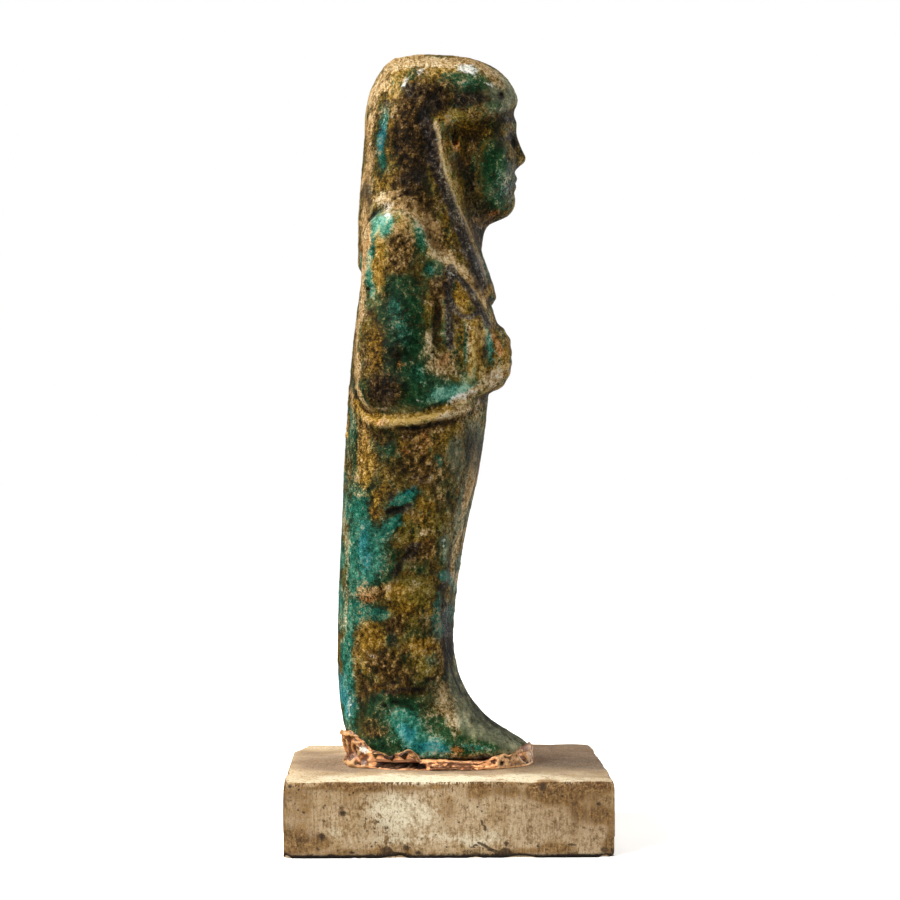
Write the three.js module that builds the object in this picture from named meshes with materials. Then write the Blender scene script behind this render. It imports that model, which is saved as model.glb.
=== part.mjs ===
// A shabti: a small mummy-shaped figure of glazed faience, set in wax on a stone block.
// Millimetres, +Z up. The figure faces -Y, and its own left is towards +X.
// The origin is the middle of the block's underside.
import * as THREE from "three";

// Driving dimensions
const baseLength = 49.4; // front to back, along Y
const baseWidth = 46; // side to side, along X
const baseHeight = 11.4;
const figureHeight = 110.3; // sole to crown
const figureY = 4; // the figure's own axis lies this far behind the middle of the block
const soleGap = 1.3; // wax under the sole
const clearance = 0.3; // between the figure and the wax

// How finely the solids are faceted
const figureColumns = 44;
const frontCrowding = 0.5; // the columns stand closer together in front
const crownRows = 9;
const waxColumns = 44;

// The figure is drawn at this height, with its sole at zero, and scaled to figureHeight.
const drawnHeight = 110.3;
const soleLift = 0.06; // the lowest row, where the rounded edge of the sole ends
const crownStart = 97; // above this the rows fan up to the top of the head

// Profiles: each pair is a height and the value there, with a smooth curve between.
const backOutline = [
  [0, 10.9], [3, 11.7], [6, 12.5], [12, 13.15], [24, 13.1], [40, 12.4], [56, 11.5], [66, 10.6], [76, 9.3], [84, 8.2],
];
const frontOutline = [
  [0, -17.3], [1.6, -16.9], [3.2, -14.4], [5.2, -11.3], [8.2, -8.3], [11.6, -6.3], [16, -5.35], [24, -5.4],
  [35, -7], [44.5, -9.1], [54, -10.4], [64, -11], [72, -10.8], [78, -8.6], [84, -7],
];
const bodyWidth = [
  [0, 9.3], [3, 9.9], [9, 9.3], [15, 9.3], [24, 10.1], [36, 11.8], [48, 13.6], [56, 14.3], [66, 13.8], [76, 13], [84, 11],
];
const wigBack = [[70, 10.2], [76, 10.1], [84, 9.8], [92, 9.35], [97, 8.9]];
const wigFront = [
  [68, -12.4], [72, -12.35], [76, -11.3], [79, -10.3], [82, -9.8], [86, -10.6], [92, -14], [97, -15.6],
];
const wigWidth = [[70, 11.2], [76, 11.8], [84, 12], [90, 11.9], [97, 11.6]];
// How far forward the wig reaches at its edge beside the face and down the front locks
const faceEdge = [
  [66, -14.4], [72, -11.9], [77, -9.6], [81, -7.6], [86.3, -5.2], [91.8, -3.6], [97, -2.8], [101, -2.4], [112, -2.2],
];
// The middle line that every row is measured from
const axisLine = [
  [0, -2], [6, 0.5], [14, 3.2], [26, 3.6], [40, 2], [54, 0.4], [70, -0.4], [84, -1.6], [97, -2.6], [110, -2.6],
];
// These two run front to back: a depth, and the height of the edge there.
const shoulderLine = [
  [-14, 62.5], [-12, 65.2], [-10.4, 67.7], [-8.1, 71.9], [-5.1, 75.3], [-2.3, 78.8], [-0.5, 82.3], [2.5, 85],
  [5.6, 86], [8, 84.5], [11, 82],
];
const armLedge = [
  [-15, 58.6], [-9.3, 56.5], [-3.9, 54.7], [0.1, 53.7], [5, 53.3], [8, 53.8], [9.5, 55.5], [12, 59],
];

// A smooth curve through (place, value) points, its slopes taken from the neighbours
function curveThrough(points) {
  const last = points.length - 1;
  const slopes = points.map((point, i) => {
    const before = points[Math.max(i - 1, 0)];
    const after = points[Math.min(i + 1, last)];
    if (i === 0 || i === last) return (after[1] - before[1]) / (after[0] - before[0]);
    const low = point[0] - before[0];
    const high = after[0] - point[0];
    const rise = (after[1] - point[1]) * low * low - (before[1] - point[1]) * high * high;
    return rise / (low * high * (low + high));
  });
  return (at) => {
    let i = 0;
    while (i < last - 1 && at > points[i + 1][0]) i += 1;
    const step = points[i + 1][0] - points[i][0];
    const t = Math.min(Math.max((at - points[i][0]) / step, 0), 1);
    const start = points[i][1] * (1 + 2 * t) * (1 - t) ** 2 + step * slopes[i] * t * (1 - t) ** 2;
    const end = points[i + 1][1] * t * t * (3 - 2 * t) - step * slopes[i + 1] * t * t * (1 - t);
    return start + end;
  };
}

const backAt = curveThrough(backOutline);
const frontAt = curveThrough(frontOutline);
const widthAt = curveThrough(bodyWidth);
const wigBackAt = curveThrough(wigBack);
const wigFrontAt = curveThrough(wigFront);
const wigWidthAt = curveThrough(wigWidth);
const faceEdgeAt = curveThrough(faceEdge);
const axisAt = curveThrough(axisLine);
const shoulderAt = curveThrough(shoulderLine);
const ledgeAt = curveThrough(armLedge);

// Distances are negative inside a form. smoothMin joins two forms with a fillet of width k.
function smoothMin(a, b, k) {
  const h = Math.max(k - Math.abs(a - b), 0) / k;
  return Math.min(a, b) - (h * h * k) / 4;
}

function smoothMax(a, b, k) {
  return -smoothMin(-a, -b, k);
}

function bell(value, centre, width) {
  return Math.exp(-(((value - centre) / width) ** 2));
}

// About one from low to high, about nothing outside, over a soft border
function within(value, low, high, soft) {
  const rise = 1 + Math.exp((-3 * (value - low)) / soft);
  const fall = 1 + Math.exp((3 * (value - high)) / soft);
  return 1 / (rise * fall);
}

function ellipsoid(p, centre, radii) {
  const scaled = centre.map((c, i) => (p[i] - c) / radii[i]);
  const near = Math.hypot(...scaled);
  const slope = Math.hypot(...scaled.map((value, i) => value / radii[i]));
  return (near * (near - 1)) / Math.max(slope, 1e-6);
}

// A round bar that tapers from one end to the other
function limb(p, start, end, startRadius, endRadius) {
  const along = end.map((value, i) => value - start[i]);
  const fromStart = start.map((value, i) => p[i] - value);
  const length2 = along.reduce((sum, value) => sum + value * value, 0);
  const dot = along.reduce((sum, value, i) => sum + value * fromStart[i], 0);
  const t = Math.min(Math.max(dot / length2, 0), 1);
  const away = Math.hypot(...fromStart.map((value, i) => value - t * along[i]));
  return away - (startRadius + (endRadius - startRadius) * t);
}

// The wrapped body and foot: a rounded section between the back, front and side outlines
function bodyForm(side, y, z) {
  const width = widthAt(z);
  const back = backAt(z);
  const front = frontAt(z);
  const middle = (back + front) / 2;
  const reach = y > middle ? back - middle : middle - front;
  const squareness = 2.35 + 0.9 * Math.exp(-((z / 6) ** 2));
  const out = (side / width) ** squareness + (Math.abs(y - middle) / reach) ** squareness;
  const shell = (out ** (1 / squareness) - 1) * Math.min(width, (back - front) / 2);
  return smoothMax(smoothMax(shell, -z, 1.6), z - 84, 6);
}

// The striped wig: a tube that domes over the crown, open at the face, cut off in two front locks
function wigForm(side, y, z) {
  const low = Math.min(z, crownStart);
  const width = wigWidthAt(low);
  const back = wigBackAt(low);
  const front = wigFrontAt(low);
  const rise = Math.max(z - crownStart, 0) / 13.2;
  const leaned = y - 2.2 * Math.min(rise, 1.2) ** 6;
  const middle = (back + front) / 2;
  const reach = leaned > middle ? back - middle : middle - front;
  const upright = ((Math.abs(leaned - middle) / reach) ** 2.75 + rise ** 2.75) ** (1 / 2.75);
  let shell = (((side / width) ** 2.4 + upright ** 2.4) ** (1 / 2.4) - 1) * 11.8;
  const skin = Math.max(shell, -3); // every cut edge slopes outwards with the depth below the surface
  const edge = y - faceEdgeAt(z) - 0.75 * skin;
  const brim = z - 102.6 + 0.03 * side * side - 0.9 * skin;
  const opening = smoothMax(edge, brim, 3) * 0.8;
  const parting = smoothMax(side - 3.7 - 0.7 * skin, Math.max(y + 4, z - 88), 1) * 0.8;
  const lowerEdge = (74 + 2.6 * Math.tanh(y / 4) - z + 0.8 * skin) * 0.8;
  shell = smoothMax(shell, -opening, 0.8);
  shell = smoothMax(shell, lowerEdge, 0.6);
  return smoothMax(shell, -parting, 0.7);
}

// A calm, plain face of ordinary proportions, with ears and neck
function faceForm(side, y, z) {
  const p = [side, y, z];
  const down = Math.max(94.5 - z, 0);
  const jaw = Math.max(1 - 0.009 * down - 0.0021 * down * down, 0.3);
  const across = side / jaw / 8.2;
  const deep = Math.abs(y + 7.6) / 7.4;
  const high = Math.abs(z - 94.6) / 11.2;
  let head = ((across ** 2.5 + deep ** 2.5 + high ** 2.5) ** 0.4 - 1) * 7;
  head = smoothMin(head, ellipsoid(p, [0, -12.1, 86.8], [3, 2.7, 2.2]), 2.2);
  head = smoothMin(head, limb(p, [0.8, -14.1, 99.3], [5.4, -12.2, 98.6], 0.95, 0.6), 1.4);
  head = smoothMax(head, -ellipsoid(p, [3.2, -15.6, 96.7], [2.5, 1.5, 1.35]), 1.3);
  head = smoothMin(head, ellipsoid(p, [3.2, -12.7, 96.6], [1.9, 1.5, 0.8]), 0.4);
  const bridge = limb(p, [0, -14.1, 97.6], [0, -15.5, 94], 0.75, 1.15);
  const nostril = ellipsoid(p, [1.2, -14.9, 93.4], [0.85, 0.95, 0.75]);
  head = smoothMin(head, smoothMin(bridge, nostril, 0.8), 1.3);
  head = smoothMin(head, ellipsoid(p, [4.3, -11.9, 92.8], [2.4, 2.1, 2.4]), 1.8);
  const upperLip = limb(p, [0, -14.7, 90.7], [2.3, -13.8, 90.4], 0.6, 0.35);
  const lowerLip = limb(p, [0, -14.5, 89.5], [1.9, -13.7, 89.8], 0.62, 0.35);
  head = smoothMin(head, smoothMin(upperLip, lowerLip, 0.2), 0.7);
  const ear = ellipsoid(p, [8, -4.6, 95.6], [1.5, 2, 3.2]);
  const earHollow = ellipsoid(p, [9.5, -4.9, 96], [0.9, 1, 1.8]);
  head = smoothMin(head, smoothMax(ear, -earHollow, 0.5), 0.6);
  return smoothMin(head, limb(p, [0, -1.8, 76], [0, -4.5, 90], 7.6, 6.4), 1.8);
}

// Shoulders, upper arms, crossed forearms and closed fists, cut off below along a ledge
function armsForm(x, y, z) {
  const side = Math.abs(x);
  const p = [side, y, z];
  const deepened = [side, 3 + (y - 3) / 1.3, z];
  const upperArm = limb(deepened, [10.2, 3, 80.2], [11, 3, 57.6], 5.3, 5.5);
  const breast = ellipsoid(p, [6.2, -3.2, 66], [7.9, 8.6, 12]);
  let arms = smoothMin(upperArm, breast, 1.4);
  arms = smoothMin(arms, limb(p, [12, 2, 56.8], [8.6, -7.4, 58.6], 4.4, 3.5), 2.2);
  arms = smoothMax(arms, (z - shoulderAt(y) + 0.75 * (side - 12)) * 0.6, 1.4);
  arms += 0.9 * bell(y, -2.3, 0.7) * within(z, 63, 70.5, 1.5); // the hollow in front of the upper arm
  arms -= 0.45 * bell(y, -8, 0.7) * within(z, 58.5, 67, 1.5); // the upright rib behind the fist
  arms = smoothMin(arms, limb([x, y, z], [8.6, -7.4, 58.6], [-4.6, -10.9, 61.9], 3.3, 2.4), 0.7);
  arms = smoothMin(arms, limb([x, y, z], [-8.6, -7.4, 58.6], [4.6, -11.2, 61.6], 3.3, 2.5), 0.5);
  const tilted = z - 63.3 + 0.25 * (side - 6);
  const around = Math.abs((side - 6) / 3.5) ** 2.6 + Math.abs((y + 10.8) / 3.45) ** 2.6;
  const fist = ((around + Math.abs(tilted / 3.8) ** 2.6) ** (1 / 2.6) - 1) * 3.4;
  arms = smoothMin(arms, fist, 0.6);
  return smoothMax(arms, ledgeAt(y) - z, 1);
}

function figureForm(x, y, z) {
  const side = Math.abs(x);
  // a raised lip runs round the sides just below the ledge of the arms
  const lip = 0.95 * bell(z, ledgeAt(y) - 1.1, 0.95) * within(y, -7.5, 8.5, 2.5);
  const body = smoothMin(bodyForm(side, y, z) - lip, armsForm(x, y, z), 0.9);
  const head = smoothMin(wigForm(side, y, z), faceForm(side, y, z), 0.5);
  return smoothMin(body, head, 0.7);
}

// How far out from a point of the middle line the figure's surface lies: it steps in from
// outside until it is inside the form, then halves the step
function reachAlong(origin, direction) {
  const at = (distance) => figureForm(...origin.map((value, i) => value + direction[i] * distance));
  const stride = 0.4;
  let far = 26;
  while (far > stride && at(far - stride) > 0) far -= stride;
  let near = far - stride;
  for (let i = 0; i < 12; i += 1) {
    const half = (near + far) / 2;
    if (at(half) < 0) near = half;
    else far = half;
  }
  return (near + far) / 2;
}

// A point from the axis at an angle counted from the front, towards the figure's left
function facing(angle, slant) {
  return [Math.cos(slant) * Math.sin(angle), -Math.cos(slant) * Math.cos(angle), Math.sin(slant)];
}

// The rows' heights: close together where the form changes fast from one height to the next
function rowHeights() {
  const busy = [
    [1.5, 2.5, 1.6], [54.5, 3, 2.2], [63, 5, 0.9], [73, 2.6, 1.6], [80, 4, 0.7], [85.5, 2, 1.4], [94, 7, 1.5],
  ];
  const density = (z) => 0.42 + busy.reduce((sum, [centre, width, weight]) => sum + weight * bell(z, centre, width), 0);
  const step = 0.02;
  const share = 0.84; // rows for each unit of density and millimetre
  const heights = [soleLift];
  let passed = 0;
  for (let z = soleLift; z < crownStart; z += step) {
    passed += density(z) * step * share;
    if (passed < 1) continue;
    passed -= 1;
    heights.push(z);
  }
  return heights;
}

// Lays a sphere's grid of points over a form: place gives the point for a row, counted from the
// top, and a column, and the first and last rows are single points
function wrap(columns, rows, place) {
  const geometry = new THREE.SphereGeometry(1, columns, rows);
  const position = geometry.getAttribute("position");
  for (let row = 0; row <= rows; row += 1) {
    for (let column = 0; column <= columns; column += 1) {
      const point = place(row, column % columns);
      position.setXYZ(row * (columns + 1) + column, ...point);
    }
  }
  geometry.computeVertexNormals();
  return geometry;
}

function figureGeometry() {
  const heights = rowHeights();
  const levels = [];
  for (let i = crownRows - 1; i > 0; i -= 1) {
    levels.push({ z: crownStart, slant: (i / crownRows) * (Math.PI / 2) });
  }
  for (const z of heights.reverse()) levels.push({ z, slant: 0 });
  const rows = levels.length + 1;
  const top = crownStart + reachAlong([0, axisAt(crownStart), crownStart], [0, 0, 1]);
  return wrap(figureColumns, rows, (row, column) => {
    if (row === 0) return [0, axisAt(crownStart), top];
    if (row === rows) return [0, axisAt(0), soleLift];
    const { z, slant } = levels[row - 1];
    const turn = column / figureColumns;
    const angle = 2 * Math.PI * turn - frontCrowding * Math.sin(2 * Math.PI * turn);
    const origin = [0, axisAt(z), z];
    const direction = facing(angle, slant);
    const reach = reachAlong(origin, direction);
    return origin.map((value, i) => value + direction[i] * reach);
  });
}

// The wax: a shallow dish that the foot stands in, ragged at the rim and highest at one heel
const waxAxisY = -2.35; // in the figure's own measure
const waxFloor = soleGap - clearance;

function angleApart(a, b) {
  return Math.atan2(Math.sin(a - b), Math.cos(a - b));
}

function waxMargin(angle) {
  const lumps = 0.3 * Math.sin(3 * angle + 0.6) + 0.2 * Math.sin(7 * angle + 2.1) + 0.15 * Math.sin(13 * angle + 4);
  const toe = 0.7 * bell(angleApart(angle, 0), 0, 0.7);
  const heel = 0.35 * bell(angleApart(angle, Math.PI), 0, 0.7);
  return Math.max(1.35 + lumps - toe - heel, 0.75);
}

function waxHeight(angle) {
  const lumps = 0.25 * Math.sin(5 * angle + 1) + 0.2 * Math.sin(11 * angle);
  const rightHeel = 4.6 * bell(angleApart(angle, 3.64), 0, 0.36);
  const leftHeel = 1.6 * bell(angleApart(angle, 2.5), 0, 0.3);
  return 2.1 + lumps + rightHeel + leftHeel;
}

function waxGeometry() {
  const footReach = (angle, height) =>
    reachAlong([0, waxAxisY, Math.max(height - soleGap, 0.5)], facing(angle, 0)) + clearance;
  const rows = 9;
  return wrap(waxColumns, rows, (row, column) => {
    const angle = (2 * Math.PI * column) / waxColumns;
    const height = waxHeight(angle);
    const margin = waxMargin(angle);
    const inner = (z) => footReach(angle, z);
    const outer = inner(soleGap) + margin;
    const rim = inner(height);
    const ring = [
      [0, waxFloor],
      [inner(0), waxFloor],
      [inner((waxFloor + height) / 2), (waxFloor + height) / 2],
      [rim, height - 0.15],
      [(rim * 2 + Math.max(outer, rim + 0.7)) / 3, height],
      [Math.max(outer * 0.985, rim + 0.6), height * 0.78],
      [outer, height * 0.35],
      [outer * 0.99, 0.12],
      [outer * 0.97, 0],
      [0, 0],
    ];
    const [reach, z] = ring[row];
    const direction = facing(angle, 0);
    return [direction[0] * reach, waxAxisY + direction[1] * reach, z];
  });
}

// The block: a box whose edges are worn, with a few bites broken out of them. Each bite is a
// hollow ball: a point on the broken surface, the way that surface looks, and the ball's radius.
const chips = [
  { at: [19, 23.5, 9.5], looks: [0.2, 0.9, 0.37], radius: 30 },
  { at: [22.7, -16.3, 11.1], looks: [0.7, 0, 0.7], radius: 5 },
  { at: [-22.6, 23.6, 1.4], looks: [-0.6, 0.5, -0.6], radius: 9 },
  { at: [-22.7, 8, 0.4], looks: [-0.8, 0, -0.6], radius: 5 },
  { at: [-22.7, -10.5, 0.4], looks: [-0.8, 0, -0.6], radius: 7 },
  { at: [22.4, -24, 4], looks: [0.7, -0.7, 0.1], radius: 8 },
  { at: [8, -24.4, 11.1], looks: [0, -0.7, 0.7], radius: 6 },
  { at: [-6, 24.3, 0.4], looks: [0, 0.8, -0.6], radius: 7 },
];
const edgeWear = 0.35;

// Pushes a point that lies inside a bite out to the bite's surface
function bitten(point, { at, looks, radius }) {
  const size = Math.hypot(...looks);
  const centre = at.map((value, axis) => value + (looks[axis] / size) * radius);
  const away = point.map((value, axis) => value - centre[axis]);
  const distance = Math.hypot(...away);
  if (distance >= radius) return point;
  return centre.map((value, axis) => value + (away[axis] / distance) * radius);
}

function baseGeometry() {
  const half = [baseWidth / 2, baseLength / 2, baseHeight / 2];
  const geometry = new THREE.BoxGeometry(baseWidth, baseLength, baseHeight, 10, 10, 4);
  const position = geometry.getAttribute("position");
  for (let i = 0; i < position.count; i += 1) {
    const flat = [position.getX(i), position.getY(i), position.getZ(i)];
    // the grid is drawn towards the edges, where the wear is
    const share = flat.map((value, axis) => Math.sin((Math.PI / 2) * (value / half[axis])));
    const upright = Math.abs(share[0] * share[1]) ** 12;
    const topEdge = share[2] > 0 ? Math.abs(share[0] * share[2]) ** 12 + Math.abs(share[1] * share[2]) ** 12 : 0;
    const wear = edgeWear * (upright + topEdge);
    let point = [
      share[0] * (half[0] - wear * Math.abs(share[0]) ** 4),
      share[1] * (half[1] - wear * Math.abs(share[1]) ** 4),
      half[2] + share[2] * half[2] - wear * 0.5 * Math.max(share[2], 0) ** 4,
    ];
    for (const chip of chips) point = bitten(point, chip);
    position.setXYZ(i, ...point);
  }
  geometry.computeVertexNormals();
  return geometry;
}

function piece(name, geometry, material) {
  const mesh = new THREE.Mesh(geometry, material);
  mesh.name = name;
  return mesh;
}

const faience = new THREE.MeshStandardMaterial({ color: 0x5a6b47, roughness: 0.45, metalness: 0 });
const wax = new THREE.MeshStandardMaterial({ color: 0x9c6440, roughness: 0.5, metalness: 0 });
const stone = new THREE.MeshStandardMaterial({ color: 0xb7a888, roughness: 0.85, metalness: 0 });

const figure = piece("shabti_figure", figureGeometry(), faience);
figure.scale.setScalar(figureHeight / drawnHeight);
figure.position.set(0, figureY, baseHeight + soleGap);

const bed = piece("mounting_wax", waxGeometry(), wax);
bed.position.set(0, figureY, baseHeight);

const base = piece("stone_base", baseGeometry(), stone);

const shabti = new THREE.Group();
shabti.add(figure, bed, base);

export default shabti;
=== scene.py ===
# A shabti: a worn faience figure, stuck with mounting wax to a pale stone block.
# The figure faces -Y and its own left is towards +X. Shapes are worked out in millimetres.
import bpy
import numpy as np
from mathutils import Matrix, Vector


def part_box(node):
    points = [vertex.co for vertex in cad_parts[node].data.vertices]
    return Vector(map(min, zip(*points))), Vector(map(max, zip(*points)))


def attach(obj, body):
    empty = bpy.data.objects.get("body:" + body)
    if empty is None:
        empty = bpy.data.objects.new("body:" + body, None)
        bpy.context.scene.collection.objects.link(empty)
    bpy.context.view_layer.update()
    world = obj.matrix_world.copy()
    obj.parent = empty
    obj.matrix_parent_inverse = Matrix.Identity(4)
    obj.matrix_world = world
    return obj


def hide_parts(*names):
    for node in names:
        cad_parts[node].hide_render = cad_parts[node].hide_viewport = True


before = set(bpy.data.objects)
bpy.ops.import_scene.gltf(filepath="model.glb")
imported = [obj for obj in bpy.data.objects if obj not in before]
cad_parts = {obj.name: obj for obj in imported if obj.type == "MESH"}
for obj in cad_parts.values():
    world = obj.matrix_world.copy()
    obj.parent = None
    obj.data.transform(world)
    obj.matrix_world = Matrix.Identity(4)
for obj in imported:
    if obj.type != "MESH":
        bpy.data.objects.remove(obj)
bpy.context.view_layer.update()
print("frame loaded")

mm = 0.001
baseBox = [np.array(corner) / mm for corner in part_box("stone_base")]
figureBox = [np.array(corner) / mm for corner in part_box("shabti_figure")]
baseTop = baseBox[1][2]

# Where the picture was taken from, in millimetres, and how that view falls on its 900 pixels
picture = {
    "eye": (-368.6, 8.2, 58.8),
    "focal": 2333.0,            # pixels
    "straightAhead": (394, 461),
    "size": 900,
    "film": 36,                 # the camera's own width, in its millimetres
    "farthest": 50,             # metres
    "figureAcross": (350, 500),
    "figureDown": (60, 740),    # the figure lies between these
}


def seenFrom(points):
    # across = straight ahead + focal * sideways / depth, and the same downwards
    eye = picture["eye"]
    depth = points[..., 0] - eye[0]
    across = picture["straightAhead"][0] - picture["focal"] * (points[..., 1] - eye[1]) / depth
    down = picture["straightAhead"][1] - picture["focal"] * (points[..., 2] - eye[2]) / depth
    return across, down


def setCamera():
    # it looks along the line from the eye to the picture's middle, with no shift of the lens
    eye = bpy.data.objects.new("camera", bpy.data.cameras.new("camera"))
    bpy.context.scene.collection.objects.link(eye)
    eye.location = [value * mm for value in picture["eye"]]
    half = picture["size"] / 2
    right = half - picture["straightAhead"][0]
    up = picture["straightAhead"][1] - half
    aim = Vector((picture["focal"], -right, up))
    eye.rotation_mode = "QUATERNION"
    eye.rotation_quaternion = aim.to_track_quat("-Z", "Y")
    eye.data.sensor_width = picture["film"]
    eye.data.lens = picture["focal"] / picture["size"] * picture["film"]
    eye.data.clip_end = picture["farthest"]
    bpy.context.scene.camera = eye


setCamera()


# Numbers spread over space: every lattice corner has a random number, and a point takes a smooth
# mix of the eight corners round it. The result runs from -1 to 1.
def grainAt(points, size, seed):
    cell = points / size + seed * 17.31
    corner = np.floor(cell).astype(np.int64)
    part = cell - corner
    ease = part * part * part * (part * (part * 6 - 15) + 10)
    total = np.zeros(points.shape[:-1])
    for dx in (0, 1):
        for dy in (0, 1):
            for dz in (0, 1):
                mixed = (corner[..., 0] + dx) * 374761393 + (corner[..., 1] + dy) * 668265263
                mixed = (mixed + (corner[..., 2] + dz) * 1440662683 + seed * 974634777) & 0xFFFFFFFF
                mixed = ((mixed ^ (mixed >> 13)) * 1274126177) & 0xFFFFFFFF
                value = ((mixed ^ (mixed >> 16)) & 0xFFFF) / 32767.5 - 1
                weightX = ease[..., 0] if dx else 1 - ease[..., 0]
                weightY = ease[..., 1] if dy else 1 - ease[..., 1]
                weightZ = ease[..., 2] if dz else 1 - ease[..., 2]
                total += value * weightX * weightY * weightZ
    return total


def crumbleAt(points, size, octaves, seed):
    # several grains, each half the size and half the strength of the one before
    total = np.zeros(points.shape[:-1])
    for octave in range(octaves):
        total += grainAt(points, size / 2 ** octave, seed + octave) / 2 ** octave
    return total / (2 - 2 ** (1 - octaves))


def curveThrough(points, at):
    # a cubic between neighbouring (place, value) points, its slopes taken from the points beside them
    knots = np.asarray(points, float)
    place, value = knots[:, 0], knots[:, 1]
    slope = np.gradient(value, place)
    i = np.clip(np.searchsorted(place, at) - 1, 0, len(place) - 2)
    step = place[i + 1] - place[i]
    t = np.clip((at - place[i]) / step, 0, 1)
    start = value[i] * (1 + 2 * t) * (1 - t) ** 2 + step * slope[i] * t * (1 - t) ** 2
    end = value[i + 1] * t * t * (3 - 2 * t) - step * slope[i + 1] * t * t * (1 - t)
    return start + end


# Distances are negative inside a form. smoothMin joins two forms with a fillet of width k.
def smoothMin(a, b, k):
    h = np.maximum(k - np.abs(a - b), 0) / k
    return np.minimum(a, b) - h * h * k / 4


def smoothMax(a, b, k):
    # the same for what two forms share, or for cutting one by another
    return -smoothMin(-a, -b, k)


def bell(value, centre, width):
    # one at the centre, falling off as e^-(distance / width)^2
    return np.exp(-((value - centre) / width) ** 2)


def within(value, low, high, soft):
    # about one from low to high, about nothing outside
    return 1 / (1 + np.exp(-3 * (value - low) / soft)) / (1 + np.exp(3 * (value - high) / soft))


def stepUp(value, low, high):
    # nothing below low, one above high, with a soft start and end between
    t = np.clip((value - low) / (high - low), 0, 1)
    return t * t * (3 - 2 * t)


def ellipsoid(p, centre, radii):
    # the scaled distance from the centre, divided by its own steepness
    scaled = [(p[i] - centre[i]) / radii[i] for i in range(3)]
    near = np.sqrt(sum(value ** 2 for value in scaled))
    slope = np.sqrt(sum((scaled[i] / radii[i]) ** 2 for i in range(3)))
    return near * (near - 1) / np.maximum(slope, 1e-6)


def limb(p, start, end, startRadius, endRadius):
    # the distance from a straight bar, less a radius that tapers from one end to the other
    along = [end[i] - start[i] for i in range(3)]
    away = [p[i] - start[i] for i in range(3)]
    t = np.clip(sum(away[i] * along[i] for i in range(3)) / sum(value ** 2 for value in along), 0, 1)
    gap = np.sqrt(sum((away[i] - t * along[i]) ** 2 for i in range(3)))
    return gap - (startRadius + (endRadius - startRadius) * t)


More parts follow.
